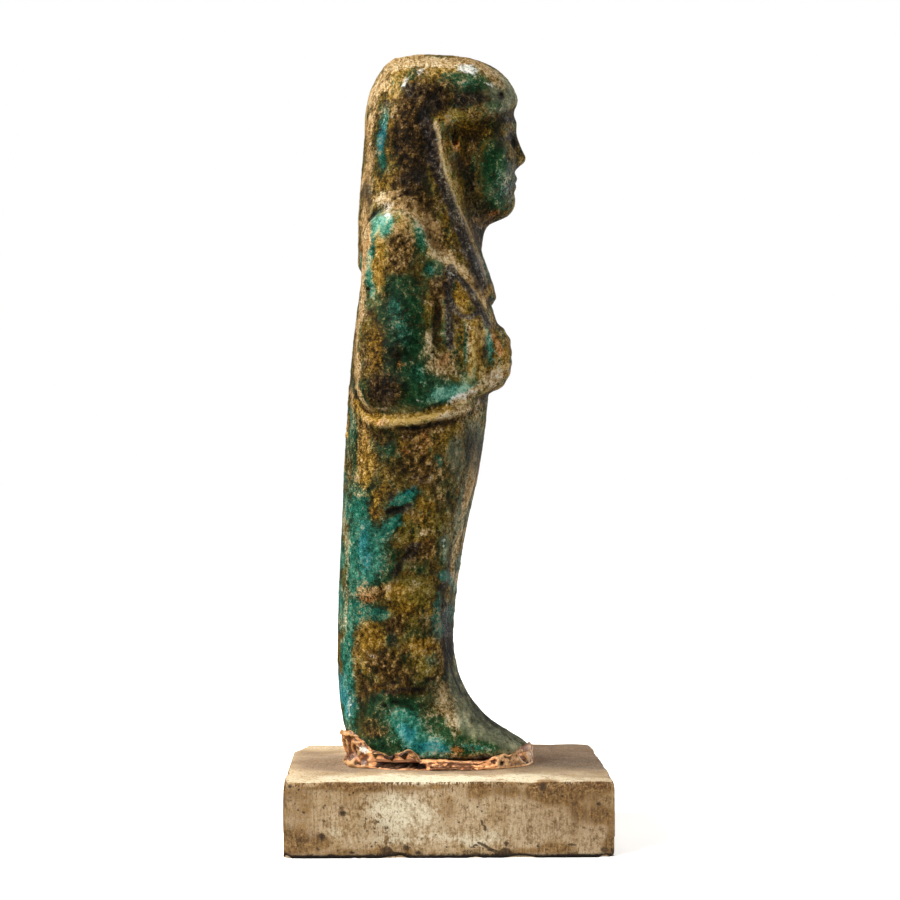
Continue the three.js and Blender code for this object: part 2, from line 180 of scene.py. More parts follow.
# The figure: its profiles, each as heights above the sole and what they measure there, the parts
# that are joined on, and how finely it is made. Its depths are counted backwards from its axis.
figure = {
    "back": [(0, 10.9), (3, 11.7), (6, 12.5), (12, 13.15), (24, 13.1), (40, 12.4), (56, 11.5), (66, 10.6),
             (76, 9.3), (84, 8.2)],
    "front": [(0, -17.3), (1.6, -16.9), (3.2, -14.4), (5.2, -11.4), (8.2, -8.6), (11.6, -6.6),
              (16, -5.45), (24, -5.65), (35, -7.25), (44.5, -9.35), (54, -10.6), (64, -11), (72, -10.8),
              (78, -8.6), (84, -7)],
    "width": [(0, 9.3), (3, 9.9), (9, 9.3), (15, 9.3), (24, 10.1), (36, 11.8), (48, 13.6), (56, 14.3),
              (66, 13.8), (76, 13), (84, 11)],
    "wigBack": [(70, 10.2), (76, 10.1), (84, 9.95), (92, 9.45), (97, 9)],
    "wigFront": [(68, -12.4), (72, -12.6), (76, -11.9), (79, -10.9), (82, -10.1), (86, -10.6), (92, -14.1),
                 (97, -16.1)],
    "wigWidth": [(70, 11.2), (76, 11.8), (84, 12), (90, 11.9), (97, 11.6)],
    "faceEdge": [(66, -14.4), (72, -11.9), (77, -9.6), (81, -7.6), (86.3, -5.2), (91.8, -3.6), (97, -2.8),
                 (101, -2.4), (112, -2.2)],
    "axis": [(0, -2), (6, 0.5), (14, 3.2), (26, 3.6), (40, 2), (54, 0.4), (70, -0.4), (84, -1.6), (97, -2.6),
             (110, -2.6)],
    # these two run front to back: a depth, and the height of the edge there
    "shoulder": [(-14, 62.5), (-12, 65.2), (-10.4, 67.7), (-8.1, 71.9), (-5.1, 75.3), (-2.3, 78.8),
                 (-0.5, 82.3), (2.5, 85), (5.6, 86), (8, 84.5), (11, 82)],
    "ledge": [(-15, 57.8), (-9.3, 56.1), (-3.9, 54), (0.1, 53.2), (5, 52.7), (8, 53), (9.5, 54.4), (12, 58)],
    "squareness": 2.35,         # of the body's section: 2 is an ellipse
    "bodyTop": 84,
    "crownRise": 13.2,          # the dome of the wig above crownStart
    "browLine": 102.6,
    "parting": 3.7,             # half the gap between the front locks
    "lockEnd": 74,              # where the locks end, above the sole
    # parts that are joined on, mirrored but for the forearms: balls as (middle, half sizes) and
    # bars as (end, end, radius at each end)
    "egg": ((0, -7.6, 94.6), (8.2, 7.4, 11.2)),     # the head without its features
    "chin": ((0, -12.1, 86.8), (3, 2.7, 2.2)),
    "brow": ((0.8, -14.1, 99.3), (5.4, -12.2, 98.6), 0.95, 0.6),
    "socket": ((3.2, -15.6, 96.7), (2.5, 1.5, 1.35)),
    "eyeball": ((3.2, -12.7, 96.6), (1.9, 1.5, 0.8)),
    "bridge": ((0, -14.1, 97.6), (0, -15.5, 94), 0.75, 1.15),
    "nostril": ((1.2, -14.9, 93.4), (0.85, 0.95, 0.75)),
    "cheek": ((4.3, -11.9, 92.8), (2.4, 2.1, 2.4)),
    "upperLip": ((0, -14.7, 90.7), (2.3, -13.8, 90.4), 0.6, 0.35),
    "lowerLip": ((0, -14.5, 89.5), (1.9, -13.7, 89.8), 0.62, 0.35),
    "ear": ((8, -4.6, 95.6), (1.5, 2, 3.2)),
    "earHollow": ((9.5, -4.9, 96), (0.9, 1, 1.8)),
    "neck": ((0, -1.8, 76), (0, -4.5, 90), 7.6, 6.4),
    "upperArm": ((10.2, 2.4, 80.2), (11, 3, 57.6), 5.25, 5.5),
    "breast": ((6.2, -3.2, 66), (7.9, 8.6, 12)),
    "elbow": ((12, 2, 56.8), (8.6, -7.4, 58.6), 4.4, 3.5),
    "leftForearm": ((8.6, -7.4, 58.6), (-4.6, -10.7, 60.2), 3.3, 2.9),
    "rightForearm": ((-8.6, -7.4, 58.6), (4.6, -11.0, 59.9), 3.3, 2.9),
    "fist": ((6, -10.8, 62.65), (3.5, 3.45, 4.55)),
    "y": 4.0,                   # its axis lies this far behind the middle of the block
    "lift": 0.06,               # the lowest row, where the rounded edge of the sole ends
    "crownStart": 97.0,         # above this the rows fan up over the head
    "bodyRows": 262,
    "crownRows": 40,
    "columns": 320,
    "crowding": 0.28,           # the columns stand closer together in front
    "swell": 0.10,              # how much the surface wanders
    "crust": 0.26,              # how far the burial crust stands up
    "pitDepth": 0.5,
}
soleHeight = figureBox[0][2] - figure["lift"]


def bodyForm(side, y, z):
    # a rounded section between the back, front and side profiles: (x/w)^n + (y/d)^n = 1
    width = curveThrough(figure["width"], z)
    back, front = curveThrough(figure["back"], z), curveThrough(figure["front"], z)
    middle = (back + front) / 2
    reach = np.where(y > middle, back - middle, middle - front)
    squareness = figure["squareness"] + 0.9 * np.exp(-(z / 6) ** 2)
    rho = ((side / width) ** squareness + (np.abs(y - middle) / reach) ** squareness) ** (1 / squareness)
    shell = (rho - 1) * np.minimum(width, (back - front) / 2)
    return smoothMax(smoothMax(shell, -z, 1.6), z - figure["bodyTop"], 6)


def wigForm(side, y, z):
    # the same kind of section, domed over the crown, less the opening for the face and the gap
    # between the front locks; each cut edge slopes outwards with the depth below the surface
    low = np.minimum(z, figure["crownStart"])
    width = curveThrough(figure["wigWidth"], low)
    back, front = curveThrough(figure["wigBack"], low), curveThrough(figure["wigFront"], low)
    rise = np.maximum(z - figure["crownStart"], 0) / figure["crownRise"]
    leaned = y - 2.2 * np.minimum(rise, 1.2) ** 6
    middle = (back + front) / 2
    reach = np.where(leaned > middle, back - middle, middle - front)
    upright = ((np.abs(leaned - middle) / reach) ** 2.75 + rise ** 2.75) ** (1 / 2.75)
    shell = (((side / width) ** 2.4 + upright ** 2.4) ** (1 / 2.4) - 1) * 11.8
    skin = np.maximum(shell, -3)
    edge = y - curveThrough(figure["faceEdge"], z) - 0.75 * skin
    brim = z - figure["browLine"] + 0.03 * side * side - 0.9 * skin
    opening = smoothMax(edge, brim, 3) * 0.8
    parting = smoothMax(side - figure["parting"] - 0.7 * skin, np.maximum(y + 4, z - 88), 1) * 0.8
    lowerEdge = (figure["lockEnd"] + 2.6 * np.tanh(y / 4) - z + 0.8 * skin) * 0.8
    shell = smoothMax(shell, -opening, 0.8)
    shell = smoothMax(shell, lowerEdge, 0.6)
    return smoothMax(shell, -parting, 0.7)


def faceForm(side, y, z):
    # a calm, plain face of ordinary proportions: an egg with brow, eyes, nose, cheeks and lips
    # joined on, and ears and neck
    p = (side, y, z)
    down = np.maximum(94.5 - z, 0)
    jaw = np.maximum(1 - 0.009 * down - 0.0021 * down ** 2, 0.3)
    middle, half = figure["egg"]
    egg = (side / jaw / half[0]) ** 2.5 + (np.abs(y - middle[1]) / half[1]) ** 2.5
    egg = egg + (np.abs(z - middle[2]) / half[2]) ** 2.5
    head = (egg ** 0.4 - 1) * 7
    head = smoothMin(head, ellipsoid(p, *figure["chin"]), 2.2)
    head = smoothMin(head, limb(p, *figure["brow"]), 1.4)
    head = smoothMax(head, -ellipsoid(p, *figure["socket"]), 1.3)
    head = smoothMin(head, ellipsoid(p, *figure["eyeball"]), 0.4)
    nose = smoothMin(limb(p, *figure["bridge"]), ellipsoid(p, *figure["nostril"]), 0.8)
    head = smoothMin(head, nose, 1.3)
    head = smoothMin(head, ellipsoid(p, *figure["cheek"]), 1.8)
    lips = smoothMin(limb(p, *figure["upperLip"]), limb(p, *figure["lowerLip"]), 0.2)
    head = smoothMin(head, lips, 0.7)
    ear = smoothMax(ellipsoid(p, *figure["ear"]), -ellipsoid(p, *figure["earHollow"]), 0.5)
    head = smoothMin(head, ear, 0.6)
    return smoothMin(head, limb(p, *figure["neck"]), 1.8)


def armsForm(x, y, z):
    # shoulders and upper arms, breast, crossed forearms and fists, cut off below along the ledge
    side = np.abs(x)
    p = (side, y, z)
    arms = limb((side, 3 + (y - 3) / 1.3, z), *figure["upperArm"])      # deeper than it is wide
    arms = smoothMin(arms, ellipsoid(p, *figure["breast"]), 1.4)
    arms = smoothMin(arms, limb(p, *figure["elbow"]), 2.2)
    topEdge = (z - curveThrough(figure["shoulder"], y) + 0.75 * (side - 12)) * 0.6
    arms = smoothMax(arms, topEdge, 1.0)
    arms = arms + 0.42 * bell(y, -2.3, 0.6) * within(z, 63.5, 70.5, 1.2)
    arms = arms - 0.45 * bell(y, -8, 0.7) * within(z, 58.5, 67, 1.5)
    arms = smoothMin(arms, limb((x, y, z), *figure["leftForearm"]), 0.7)
    arms = smoothMin(arms, limb((x, y, z), *figure["rightForearm"]), 0.5)
    middle, half = figure["fist"]
    tilted = z - middle[2] + 0.25 * (side - middle[0])
    around = np.abs((side - middle[0]) / half[0]) ** 2.6 + np.abs((y - middle[1]) / half[1]) ** 2.6
    fist = ((around + np.abs(tilted / half[2]) ** 2.6) ** (1 / 2.6) - 1) * 3.4
    fingers = 0.07 * np.cos(2 * np.pi * (tilted + 0.4) / 1.8) / (1 + np.exp((y + 11.5) * 2))
    arms = smoothMin(arms, fist + fingers, 1.6)
    return smoothMax(arms, curveThrough(figure["ledge"], y) - z, 0.6)


def figureForm(x, y, z):
    # body with a raised lip below the arms' ledge, arms, wig and head, joined by small fillets
    side = np.abs(x)
    drop = z - curveThrough(figure["ledge"], y)
    lip = 1.05 * np.exp(-((drop + 0.75) / 1.05) ** 4) * within(y, -7.0, 8.5, 2.5)
    joint = 0.5 + 2.2 * stepUp(y, 3, 9) * stepUp(z, 56, 60)
    body = smoothMin(bodyForm(side, y, z) - lip, armsForm(x, y, z), joint)
    head = smoothMin(wigForm(side, y, z), faceForm(side, y, z), 1.7)
    return smoothMin(body, head, 0.7)


def reachAlong(origin, direction):
    # from outside, step in along every ray until it is inside the form, then halve the step
    stride = 0.4
    reach = np.full(direction.shape[1:], 26.0)
    inside = np.zeros(reach.shape, bool)
    for _ in range(60):
        trial = reach - stride
        inside |= figureForm(*(origin + direction * trial)) < 0
        reach = np.where(inside, reach, trial)
        if inside.all():
            break
    near, far = reach - stride, reach
    for _ in range(13):
        half = (near + far) / 2
        hit = figureForm(*(origin + direction * half)) < 0
        near, far = np.where(hit, half, near), np.where(hit, far, half)
    return (near + far) / 2


def facing(angle, slant):
    # the direction at an angle counted from the front towards the figure's left, slanting up
    level = np.cos(slant)
    return np.stack([level * np.sin(angle), -level * np.cos(angle), np.sin(slant) + 0 * angle])


def rowHeights(count):
    # the rows crowd where the form changes fast, in equal steps of the summed density
    busy = [(1.5, 2.5, 0.8), (54.5, 3, 1.2), (63, 5, 0.7), (73, 2.6, 0.8), (94, 7, 0.8)]
    z = np.linspace(figure["lift"], figure["crownStart"], 4000)
    density = 0.8 + sum(weight * bell(z, centre, width) for centre, width, weight in busy)
    passed = np.concatenate([[0], np.cumsum((density[1:] + density[:-1]) / 2)])
    return np.interp(np.linspace(0, passed[-1], count), passed, z)


def normalsOf(grid):
    # the cross product of the steps along and up the grid, whose columns close on themselves
    across = np.roll(grid, -1, 1) - np.roll(grid, 1, 1)
    upward = np.gradient(grid, axis=0)
    normal = np.cross(across, upward)
    return normal / np.maximum(np.linalg.norm(normal, axis=-1, keepdims=True), 1e-9)


def hollownessOf(grid, normal, steps):
    # how far the mean of four neighbours lies outside the surface, in millimetres
    sideways = np.roll(grid, -steps, 1) + np.roll(grid, steps, 1)
    padded = np.concatenate([grid[:1].repeat(steps, 0), grid, grid[-1:].repeat(steps, 0)])
    upright = padded[2 * steps:] + padded[:-2 * steps]
    return np.sum(((sideways + upright) / 4 - grid) * normal, -1)


def wrappedMesh(name, grid, lowPole, highPole, fields):
    # rows run upwards and columns round the piece; a point at each end closes it
    rows, columns = grid.shape[:2]
    points = np.concatenate([grid.reshape(-1, 3), [lowPole], [highPole]]) * mm
    i, j = np.meshgrid(np.arange(rows - 1), np.arange(columns), indexing="ij")
    after = (j + 1) % columns
    here, above = i * columns, (i + 1) * columns
    quads = np.stack([here + j, here + after, above + after, above + j], -1)
    ring = np.arange(columns)
    ahead = (ring + 1) % columns
    last = (rows - 1) * columns
    lowFan = np.stack([ahead, ring, np.full(columns, rows * columns)], -1)
    highFan = np.stack([last + ring, last + ahead, np.full(columns, rows * columns + 1)], -1)
    corners = np.concatenate([quads.ravel(), lowFan.ravel(), highFan.ravel()]).astype(np.int32)
    totals = np.concatenate([np.full(quads.size // 4, 4), np.full(2 * columns, 3)]).astype(np.int32)
    return meshFrom(name, points, corners, totals,
                    {key: np.append(value.ravel(), [0, 0]) for key, value in fields.items()})


def meshFrom(name, points, corners, totals, fields):
    # corners lists every face's points in turn, and totals says how many each face has
    mesh = bpy.data.meshes.new(name)
    mesh.vertices.add(len(points))
    mesh.vertices.foreach_set("co", points.ravel())
    mesh.loops.add(len(corners))
    mesh.loops.foreach_set("vertex_index", corners)
    mesh.polygons.add(len(totals))
    starts = np.concatenate([[0], np.cumsum(totals)[:-1]]).astype(np.int32)
    mesh.polygons.foreach_set("loop_start", starts)
    mesh.polygons.foreach_set("loop_total", totals)
    mesh.polygons.foreach_set("use_smooth", np.ones(len(totals), bool))
    mesh.update(calc_edges=True)
    mesh.validate()
    for key, value in fields.items():
        mesh.attributes.new(key, "FLOAT", "POINT").data.foreach_set("value", value.astype(np.float32))
    piece = bpy.data.objects.new(name, mesh)
    bpy.context.scene.collection.objects.link(piece)
    return piece


# A socket of a shader node, so that sums of them are written as ordinary expressions
class Signal:
    def __init__(self, finish, socket):
        self.finish = finish
        self.socket = socket

    def calc(self, operation, first, second):
        return self.finish.make("ShaderNodeMath", {"operation": operation}, {0: first, 1: second})

    def orMore(self, other):
        return self.calc("MAXIMUM", self, other)

    def __add__(self, other):
        return self.calc("ADD", self, other)

    def __radd__(self, other):
        return self.calc("ADD", other, self)

    def __sub__(self, other):
        return self.calc("SUBTRACT", self, other)

    def __rsub__(self, other):
        return self.calc("SUBTRACT", other, self)

    def __mul__(self, other):
        return self.calc("MULTIPLY", self, other)

    def __rmul__(self, other):
        return self.calc("MULTIPLY", other, self)

    def between(self, low, high):
        # nothing at low, one at high, with a soft start and end
        return self.finish.make("ShaderNodeMapRange", {"interpolation_type": "SMOOTHSTEP"},
                                {"Value": self, "From Min": low, "From Max": high})


# One material and its nodes
class Finish:
    def __init__(self, name):
        self.material = bpy.data.materials.new(name)
        self.material.use_nodes = True
        self.tree = self.material.node_tree
        self.tree.nodes.clear()
        self.shader = self.tree.nodes.new("ShaderNodeBsdfPrincipled")
        output = self.tree.nodes.new("ShaderNodeOutputMaterial")
        self.tree.links.new(self.shader.outputs[0], output.inputs["Surface"])
        self.place = self.make("ShaderNodeTexCoord", output="Object")
        self.colour = None      # what has been laid so far

    def fill(self, node, inputs):
        # a signal is linked to its input, and a plain value is written there
        for key, value in inputs.items():
            if isinstance(value, Signal):
                self.tree.links.new(value.socket, node.inputs[key])
            else:
                node.inputs[key].default_value = value

    def make(self, kind, settings=None, inputs=None, output=0):
        # any node: its settings first, with a ramp's stops among them, then its inputs
        node = self.tree.nodes.new(kind)
        for key, value in (settings or {}).items():
            if key == "stops":
                for _ in value[2:]:     # a ramp starts with two stops
                    node.color_ramp.elements.new(1)
                for element, (position, colour) in zip(node.color_ramp.elements, value):
                    element.position, element.color = position, colour
            else:
                setattr(node, key, value)
        self.fill(node, inputs or {})
        return Signal(self, node.outputs[output])

    def field(self, name):
        # one of the numbers that the mesh carries at its points
        return self.make("ShaderNodeAttribute", {"attribute_name": name}, output="Fac")

    def spread(self, size, stretch, shift):
        # object coordinates, counted in grains of this size in millimetres
        scale = [value / (size * mm) for value in stretch]
        return self.make("ShaderNodeVectorMath", {"operation": "MULTIPLY_ADD"},
                         {0: self.place, 1: scale, 2: (shift, shift * 1.7, shift * 2.3)})

    def grain(self, size, detail=3.0, rough=0.6, stretch=(1, 1, 1), shift=0.0):
        # a cloudy grain that runs from about -0.5 to 0.5
        inputs = {"Vector": self.spread(size, stretch, shift), "Scale": 1.0}
        return self.make("ShaderNodeTexNoise", {}, {**inputs, "Detail": detail, "Roughness": rough}) - 0.5

    def cells(self, size, shift=0.0, feature="F1"):
        # the distance from the middle of the nearest cell, or from its edge
        inputs = {"Vector": self.spread(size, (1, 1, 1), shift), "Scale": 1.0}
        return self.make("ShaderNodeTexVoronoi", {"feature": feature}, inputs, output="Distance")

    def mixed(self, factor, first, second, way="MIX"):
        # the first colour where the factor is nothing, the second where it is one
        return self.make("ShaderNodeMix", {"data_type": "RGBA", "blend_type": way},
                         {0: factor, 6: first, 7: second}, output=2)

    def lay(self, mask, coat, way="MIX"):
        # this coat over the colour so far, where the mask is
        self.colour = self.mixed(mask, self.colour, coat, way)

    def toned(self, tone, places, colours):
        # a colour that goes with the tone, through these colours at these places
        stops = [(place, tint(*colour)) for place, colour in zip(places, colours)]
        return self.make("ShaderNodeValToRGB", {"stops": stops}, {"Fac": tone})

    def bumped(self, height, distance):
        # the normal of a surface that stands up by this height times the distance in millimetres
        return self.make("ShaderNodeBump", {},
                         {"Height": height, "Distance": distance * mm, "Strength": 1.0})

    def dress(self, piece, **inputs):
        # the shader's own inputs, and the material on the piece
        self.fill(self.shader, {key.replace("_", " "): value for key, value in inputs.items()})
        piece.data.materials.clear()
        piece.data.materials.append(self.material)


def tint(red, green, blue):
    # a colour as it looks on a screen, from 0 to 255, turned into light
    share = np.array([red, green, blue]) / 255
    light = np.where(share > 0.04045, ((share + 0.055) / 1.055) ** 2.4, share / 12.92)
    return (*[float(value) for value in light], 1.0)


# What lies on the glaze where the picture shows it, and painted light and shade among it: the white
# marks are partly painted glints, the thin tan stripes along the back and front edges and over the
# crown partly painted highlights, and the brown and dark marks under the arms' lip and along the foot
# above the wax painted shadow. Each mark is a soft patch in the picture's pixels: centre across,
# centre down, half width, half height, strength and, for some, a turn in degrees. Brown and ochre also
# stand up as crust.
marks = {
    "green": [
        (462, 84, 22, 8, 2, -6), (494, 103, 9, 8, 0.7), (496, 175, 16, 34, 1.2),
        (424, 186, 12, 30, 0.7, -25), (418, 236, 7, 15, 0.9, -10), (402, 284, 18, 11, 0.7),
        (400, 314, 19, 30, 1.5, -12), (412, 372, 24, 28, 1.5, -8), (430, 392, 26, 10, 1.2, -8),
        (360, 392, 4, 15, 0.8, -20), (480, 265, 5, 18, 0.8, -22), (436, 268, 8, 8, 1.1, 30),
        (446, 330, 5, 18, 0.6), (476, 352, 6, 12, 0.5), (353, 447, 4, 26, 0.9, 2), (388, 447, 7, 10, 0.9),
        (376, 566, 20, 22, 1), (390, 637, 6, 8, 0.9), (385, 742, 16, 9, 1.2), (386, 704, 16, 9, 1.1),
        (412, 728, 46, 25, 1, 5), (446, 746, 30, 12, 0.9), (420, 560, 14, 14, 0.6), (418, 636, 18, 10, 0.6),
        (446, 490, 10, 24, 0.6, 5), (478, 745, 24, 6, 0.8, 5), (408, 470, 10, 14, 0.6),
        (430, 690, 20, 8, 0.4), (370, 480, 10, 14, 0.8),
    ],
    "turquoise": [
        (382, 128, 3.6, 18, 1.2, 4), (383, 157, 4, 11, 0.9), (381, 226, 10, 11, 1.5),
        (368, 250, 4.6, 30, 1.1, 3), (392, 302, 9, 8, 0.6, -20), (400, 330, 12, 24, 0.55, -8),
        (420, 375, 12, 12, 0.5), (446, 396, 22, 7, 0.9, -14), (420, 234, 6, 17, 0.75, -12),
        (488, 344, 6, 18, 0.9, -8), (438, 461, 4.5, 7, 0.9), (359, 510, 9, 26, 1.1, 3),
        (362, 560, 16, 38, 1.2, 3), (407, 498, 14, 5, 1.3, -20), (389, 528, 18, 5, 1.2, -42),
        (446, 574, 8, 5, 0.8), (352, 612, 7, 11, 1), (376, 611, 11, 6, 1.1), (440, 614, 5, 22, 1),
        (347, 664, 6, 50, 0.9, -3), (349, 706, 7, 18, 1.1, -10), (403, 726, 18, 14, 1.2, 20),
        (428, 748, 22, 8, 1.3, 5), (474, 745, 18, 4, 0.6, 5), (465, 342, 2.2, 20, 0.9),
        (432, 655, 6, 12, 0.4), (350, 425, 3, 20, 0.6, 3), (372, 285, 4, 12, 0.6), (500, 185, 8, 18, 0.4),
        (430, 268, 5, 5, 0.8), (446, 548, 4, 14, 0.5), (412, 258, 5, 10, 0.5), (400, 455, 4, 6, 0.5),
        (466, 84, 12, 4, 0.4, -6), (460, 391, 20, 8, 0.35, -14),
    ],
    "blue": [
        (382, 136, 4, 16, 1, 4), (363, 548, 7, 28, 0.75, 3), (412, 492, 8, 4, 0.7, -20),
        (348, 700, 6, 22, 0.9, -8), (405, 736, 12, 9, 1.1, 20), (432, 750, 16, 6, 1.2, 5),
        (378, 220, 6, 7, 0.6),
    ],
    "grey": [
        (502, 90, 17, 15, 1.1), (430, 374, 12, 7, 0.6, 30), (464, 391, 19, 4.5, 0.9, -20),
        (454, 456, 7, 18, 0.9), (474, 440, 9, 24, 0.9, 4), (447, 546, 6, 16, 0.9),
        (492, 729, 40, 17, 1.4, 28), (462, 690, 9, 24, 0.8, -25), (466, 500, 8, 36, 0.9, 10),
        (346, 650, 5, 30, 0.9), (350, 700, 6, 16, 0.7), (440, 700, 20, 14, 0.4), (418, 240, 5, 24, 0.5),
        (440, 375, 14, 10, 0.4), (445, 598, 7, 10, 0.6), (459, 620, 3.4, 70, 1.1),
    ],
    "olive": [
        (460, 114, 10, 5, 1), (412, 118, 8, 26, 0.5), (398, 156, 7, 16, 0.4), (410, 590, 18, 16, 1),
        (424, 668, 11, 15, 0.9), (404, 534, 18, 12, 0.9), (405, 442, 9, 10, 0.8), (470, 128, 10, 8, 0.7),
        (456, 195, 8, 18, 0.5, -20), (428, 314, 6, 18, 0.7), (412, 628, 12, 12, 0.7),
        (432, 592, 10, 10, 0.6), (440, 520, 14, 16, 0.6), (390, 700, 20, 8, 0.5),
    ],
    "ochre": [
        (374, 350, 8, 22, 1.1, 5), (384, 181, 11, 12, 0.5), (392, 130, 3, 26, 0.8),
        (379, 262, 7, 26, 1.1, -3), (463, 297, 6, 11, 1, -25), (477, 342, 8, 26, 1.2, -5),
        (405, 440, 8, 9, 0.9), (362, 452, 6, 30, 0.8, 2), (370, 468, 8, 20, 0.6), (378, 495, 6, 8, 0.8),
        (376, 513, 4.5, 10, 1), (424, 646, 18, 9, 1, 10), (370, 634, 11, 16, 0.9), (468, 128, 10, 9, 0.8),
        (402, 608, 16, 9, 0.8), (425, 520, 12, 8, 0.6), (430, 300, 5, 14, 0.5), (366, 664, 8, 22, 0.45),
        (440, 190, 6, 20, 0.5, -20), (395, 66, 20, 8, 0.8, -30), (440, 69, 24, 6, 0.6),
        (400, 222, 8, 10, 0.6), (388, 590, 20, 6, 0.9), (436, 610, 8, 6, 0.5), (446, 240, 8, 10, 0.7, 30),
        (430, 232, 8, 12, 0.2, 30), (480, 130, 14, 8, 0.5), (486, 292, 8, 10, 0.8, 20),
    ],
    # tan crust and wear; the thin stripes along the back and front edges and over the crown are partly
    # painted highlights
    "tan": [
        (366, 150, 6, 62, 1.1, 3), (379, 82, 12, 8, 1.1, -48), (402, 61, 22, 5, 1.2, -15),
        (438, 60, 30, 5, 1.2, 4), (475, 64, 20, 5, 1, 15), (498, 78, 12, 4, 0.8, 38),
        (396, 201, 20, 8, 1.5, 10), (418, 212, 12, 6, 1.2, 35), (432, 226, 16, 7, 1.5, 52),
        (446, 256, 20, 5, 1.5, 40), (466, 274, 12, 4, 1, 42), (362, 246, 4, 28, 1.1, 3),
        (442, 366, 12, 13, 0.9), (430, 340, 5, 16, 0.6), (428, 299, 7, 2, 0.8, 10), (467, 338, 2.4, 23, 0.8),
        (493, 380, 11, 9, 1.1, -20), (427, 530, 8, 3.5, 0.8, -20), (372, 590, 16, 5, 0.8, -8),
        (434, 712, 12, 7, 0.4), (447, 704, 9, 30, 0.6, -15), (454, 726, 7, 11, 0.3),
        (360, 446, 5, 32, 0.35, 2), (466, 520, 5, 60, 0.9, 10), (486, 222, 7, 9, 0.7, 30),
        (358, 330, 3, 60, 0.8, 4), (352, 380, 3, 30, 0.8, 4), (457, 415, 20, 7, 0.7, -18),
        (342, 560, 3.4, 90, 0.5, 2), (456, 610, 2.5, 60, 0.2), (402, 124, 6, 30, 0.6),
        (484, 290, 5, 14, 0.9, -20), (470, 470, 3, 40, 0.7, 6),
    ],
    # brown crust; the marks at (430, 427) under the lip and (466, 755) along the foot are painted shadow
    "brown": [
        (430, 94, 22, 13, 1.05), (405, 137, 13, 44, 0.95), (402, 250, 14, 22, 1.2), (384, 388, 17, 14, 1.3),
        (397, 354, 7, 10, 0.9), (437, 284, 8, 10, 1.1), (418, 470, 28, 18, 0.9), (396, 668, 19, 18, 0.8),
        (430, 427, 26, 5, 0.8, -8), (420, 550, 24, 12, 0.9, -10), (396, 622, 12, 9, 0.9),
        (478, 195, 8, 22, 0.3, -10), (472, 145, 10, 12, 0.7), (374, 728, 12, 10, 0.8),
        (466, 755, 28, 3, 0.8), (420, 150, 12, 34, 0.75), (408, 692, 24, 6, 0.9), (444, 500, 12, 14, 0.5),
        (362, 690, 8, 18, 0.7), (384, 300, 6, 12, 0.5), (412, 190, 16, 10, 0.9, 20),
        (430, 205, 10, 12, 0.6, 30), (410, 440, 14, 8, 0.4), (430, 625, 12, 8, 0.4), (380, 660, 12, 14, 0.6),
    ],
    "rust": [
        (457, 148, 5, 7, 1.2, 20), (363, 246, 2.5, 24, 0.7, 3), (499, 347, 3.6, 13, 1.2, -10),
        (429, 442, 12, 11, 0.55), (376, 513, 4, 9, 0.5), (494, 213, 6, 4, 0.9), (380, 420, 12, 4, 0.7),
        (368, 596, 12, 4, 0.8), (410, 120, 10, 20, 0.2), (365, 430, 5, 16, 0.3), (457, 749, 8, 5, 0.9),
        (430, 540, 10, 8, 0.4), (368, 560, 3, 3, 0.3), (446, 362, 6, 8, 0.6), (404, 452, 8, 6, 0.6),
        (400, 362, 5, 6, 0.5),
    ],
    # the marks at (430, 427) under the lip and (486, 757) along the foot are painted shadow
    "dark": [
        (408, 86, 6, 9, 1.1, 20), (470, 99, 18, 5.5, 1.4, -10), (502, 92, 4, 4, 1), (383, 101, 3, 3.5, 0.9),
        (367, 196, 3, 17, 0.9, 5), (437, 322, 3, 24, 0.7, 2), (485, 352, 3, 12, 0.9),
        (399, 511, 13, 3.6, 1.3, -8), (411, 551, 11, 6, 1.3, -38), (394, 569, 4, 8, 1.2, 20),
        (453, 556, 2.4, 17, 0.8, 5), (443, 584, 9, 4, 1.1, -5), (448, 634, 4, 40, 1.3),
        (412, 690, 18, 2.2, 1.2), (388, 694, 12, 2, 0.9), (470, 446, 8, 22, 0.8, 4),
        (470, 535, 3, 14, 0.6, 12), (391, 637, 4, 8, 1), (420, 176, 8, 14, 0.8, -20), (394, 494, 5, 6, 0.9),
        (430, 427, 16, 2, 0.3, -8), (448, 130, 4, 20, 0.4), (462, 170, 5, 22, 0.7, -25),
        (430, 104, 8, 10, 0.8), (475, 480, 4, 12, 0.5, 5), (430, 730, 8, 3, 0.4), (510, 735, 12, 3, 0.4, 28),
        (384, 395, 10, 8, 0.6), (486, 757, 15, 3, 1, 3), (404, 475, 6, 5, 0.6), (374, 475, 3, 8, 0.6),
        (424, 480, 10, 5, 0.5), (404, 182, 6, 8, 0.7),
    ],
    # partly whitish glaze, partly painted glints and highlights
    "white": [
        (468, 70, 10, 4.4, 1.4, 10), (418, 69, 6, 3, 0.8, -30), (404, 81, 3, 9, 0.8, 25),
        (385, 205, 6, 5, 0.7, -10), (385, 216, 4, 5, 0.8, -20), (404, 203, 9, 4, 0.3, 10),
        (464, 397, 18, 4, 0.9, -20), (446, 543, 3, 10, 0.5), (343, 655, 3, 30, 0.5, -3),
        (347, 702, 4, 14, 0.6, -8), (452, 269, 10, 1.4, 0.9, 40), (494, 378, 8, 5, 0.6, -20),
        (382, 118, 2, 8, 0.6, 4), (378, 258, 4, 18, 0.4, -3), (416, 402, 2, 2, 1), (467, 330, 1.6, 16, 0.4),
        (492, 82, 6, 3, 0.8), (390, 236, 3, 6, 0.5),
    ],
}
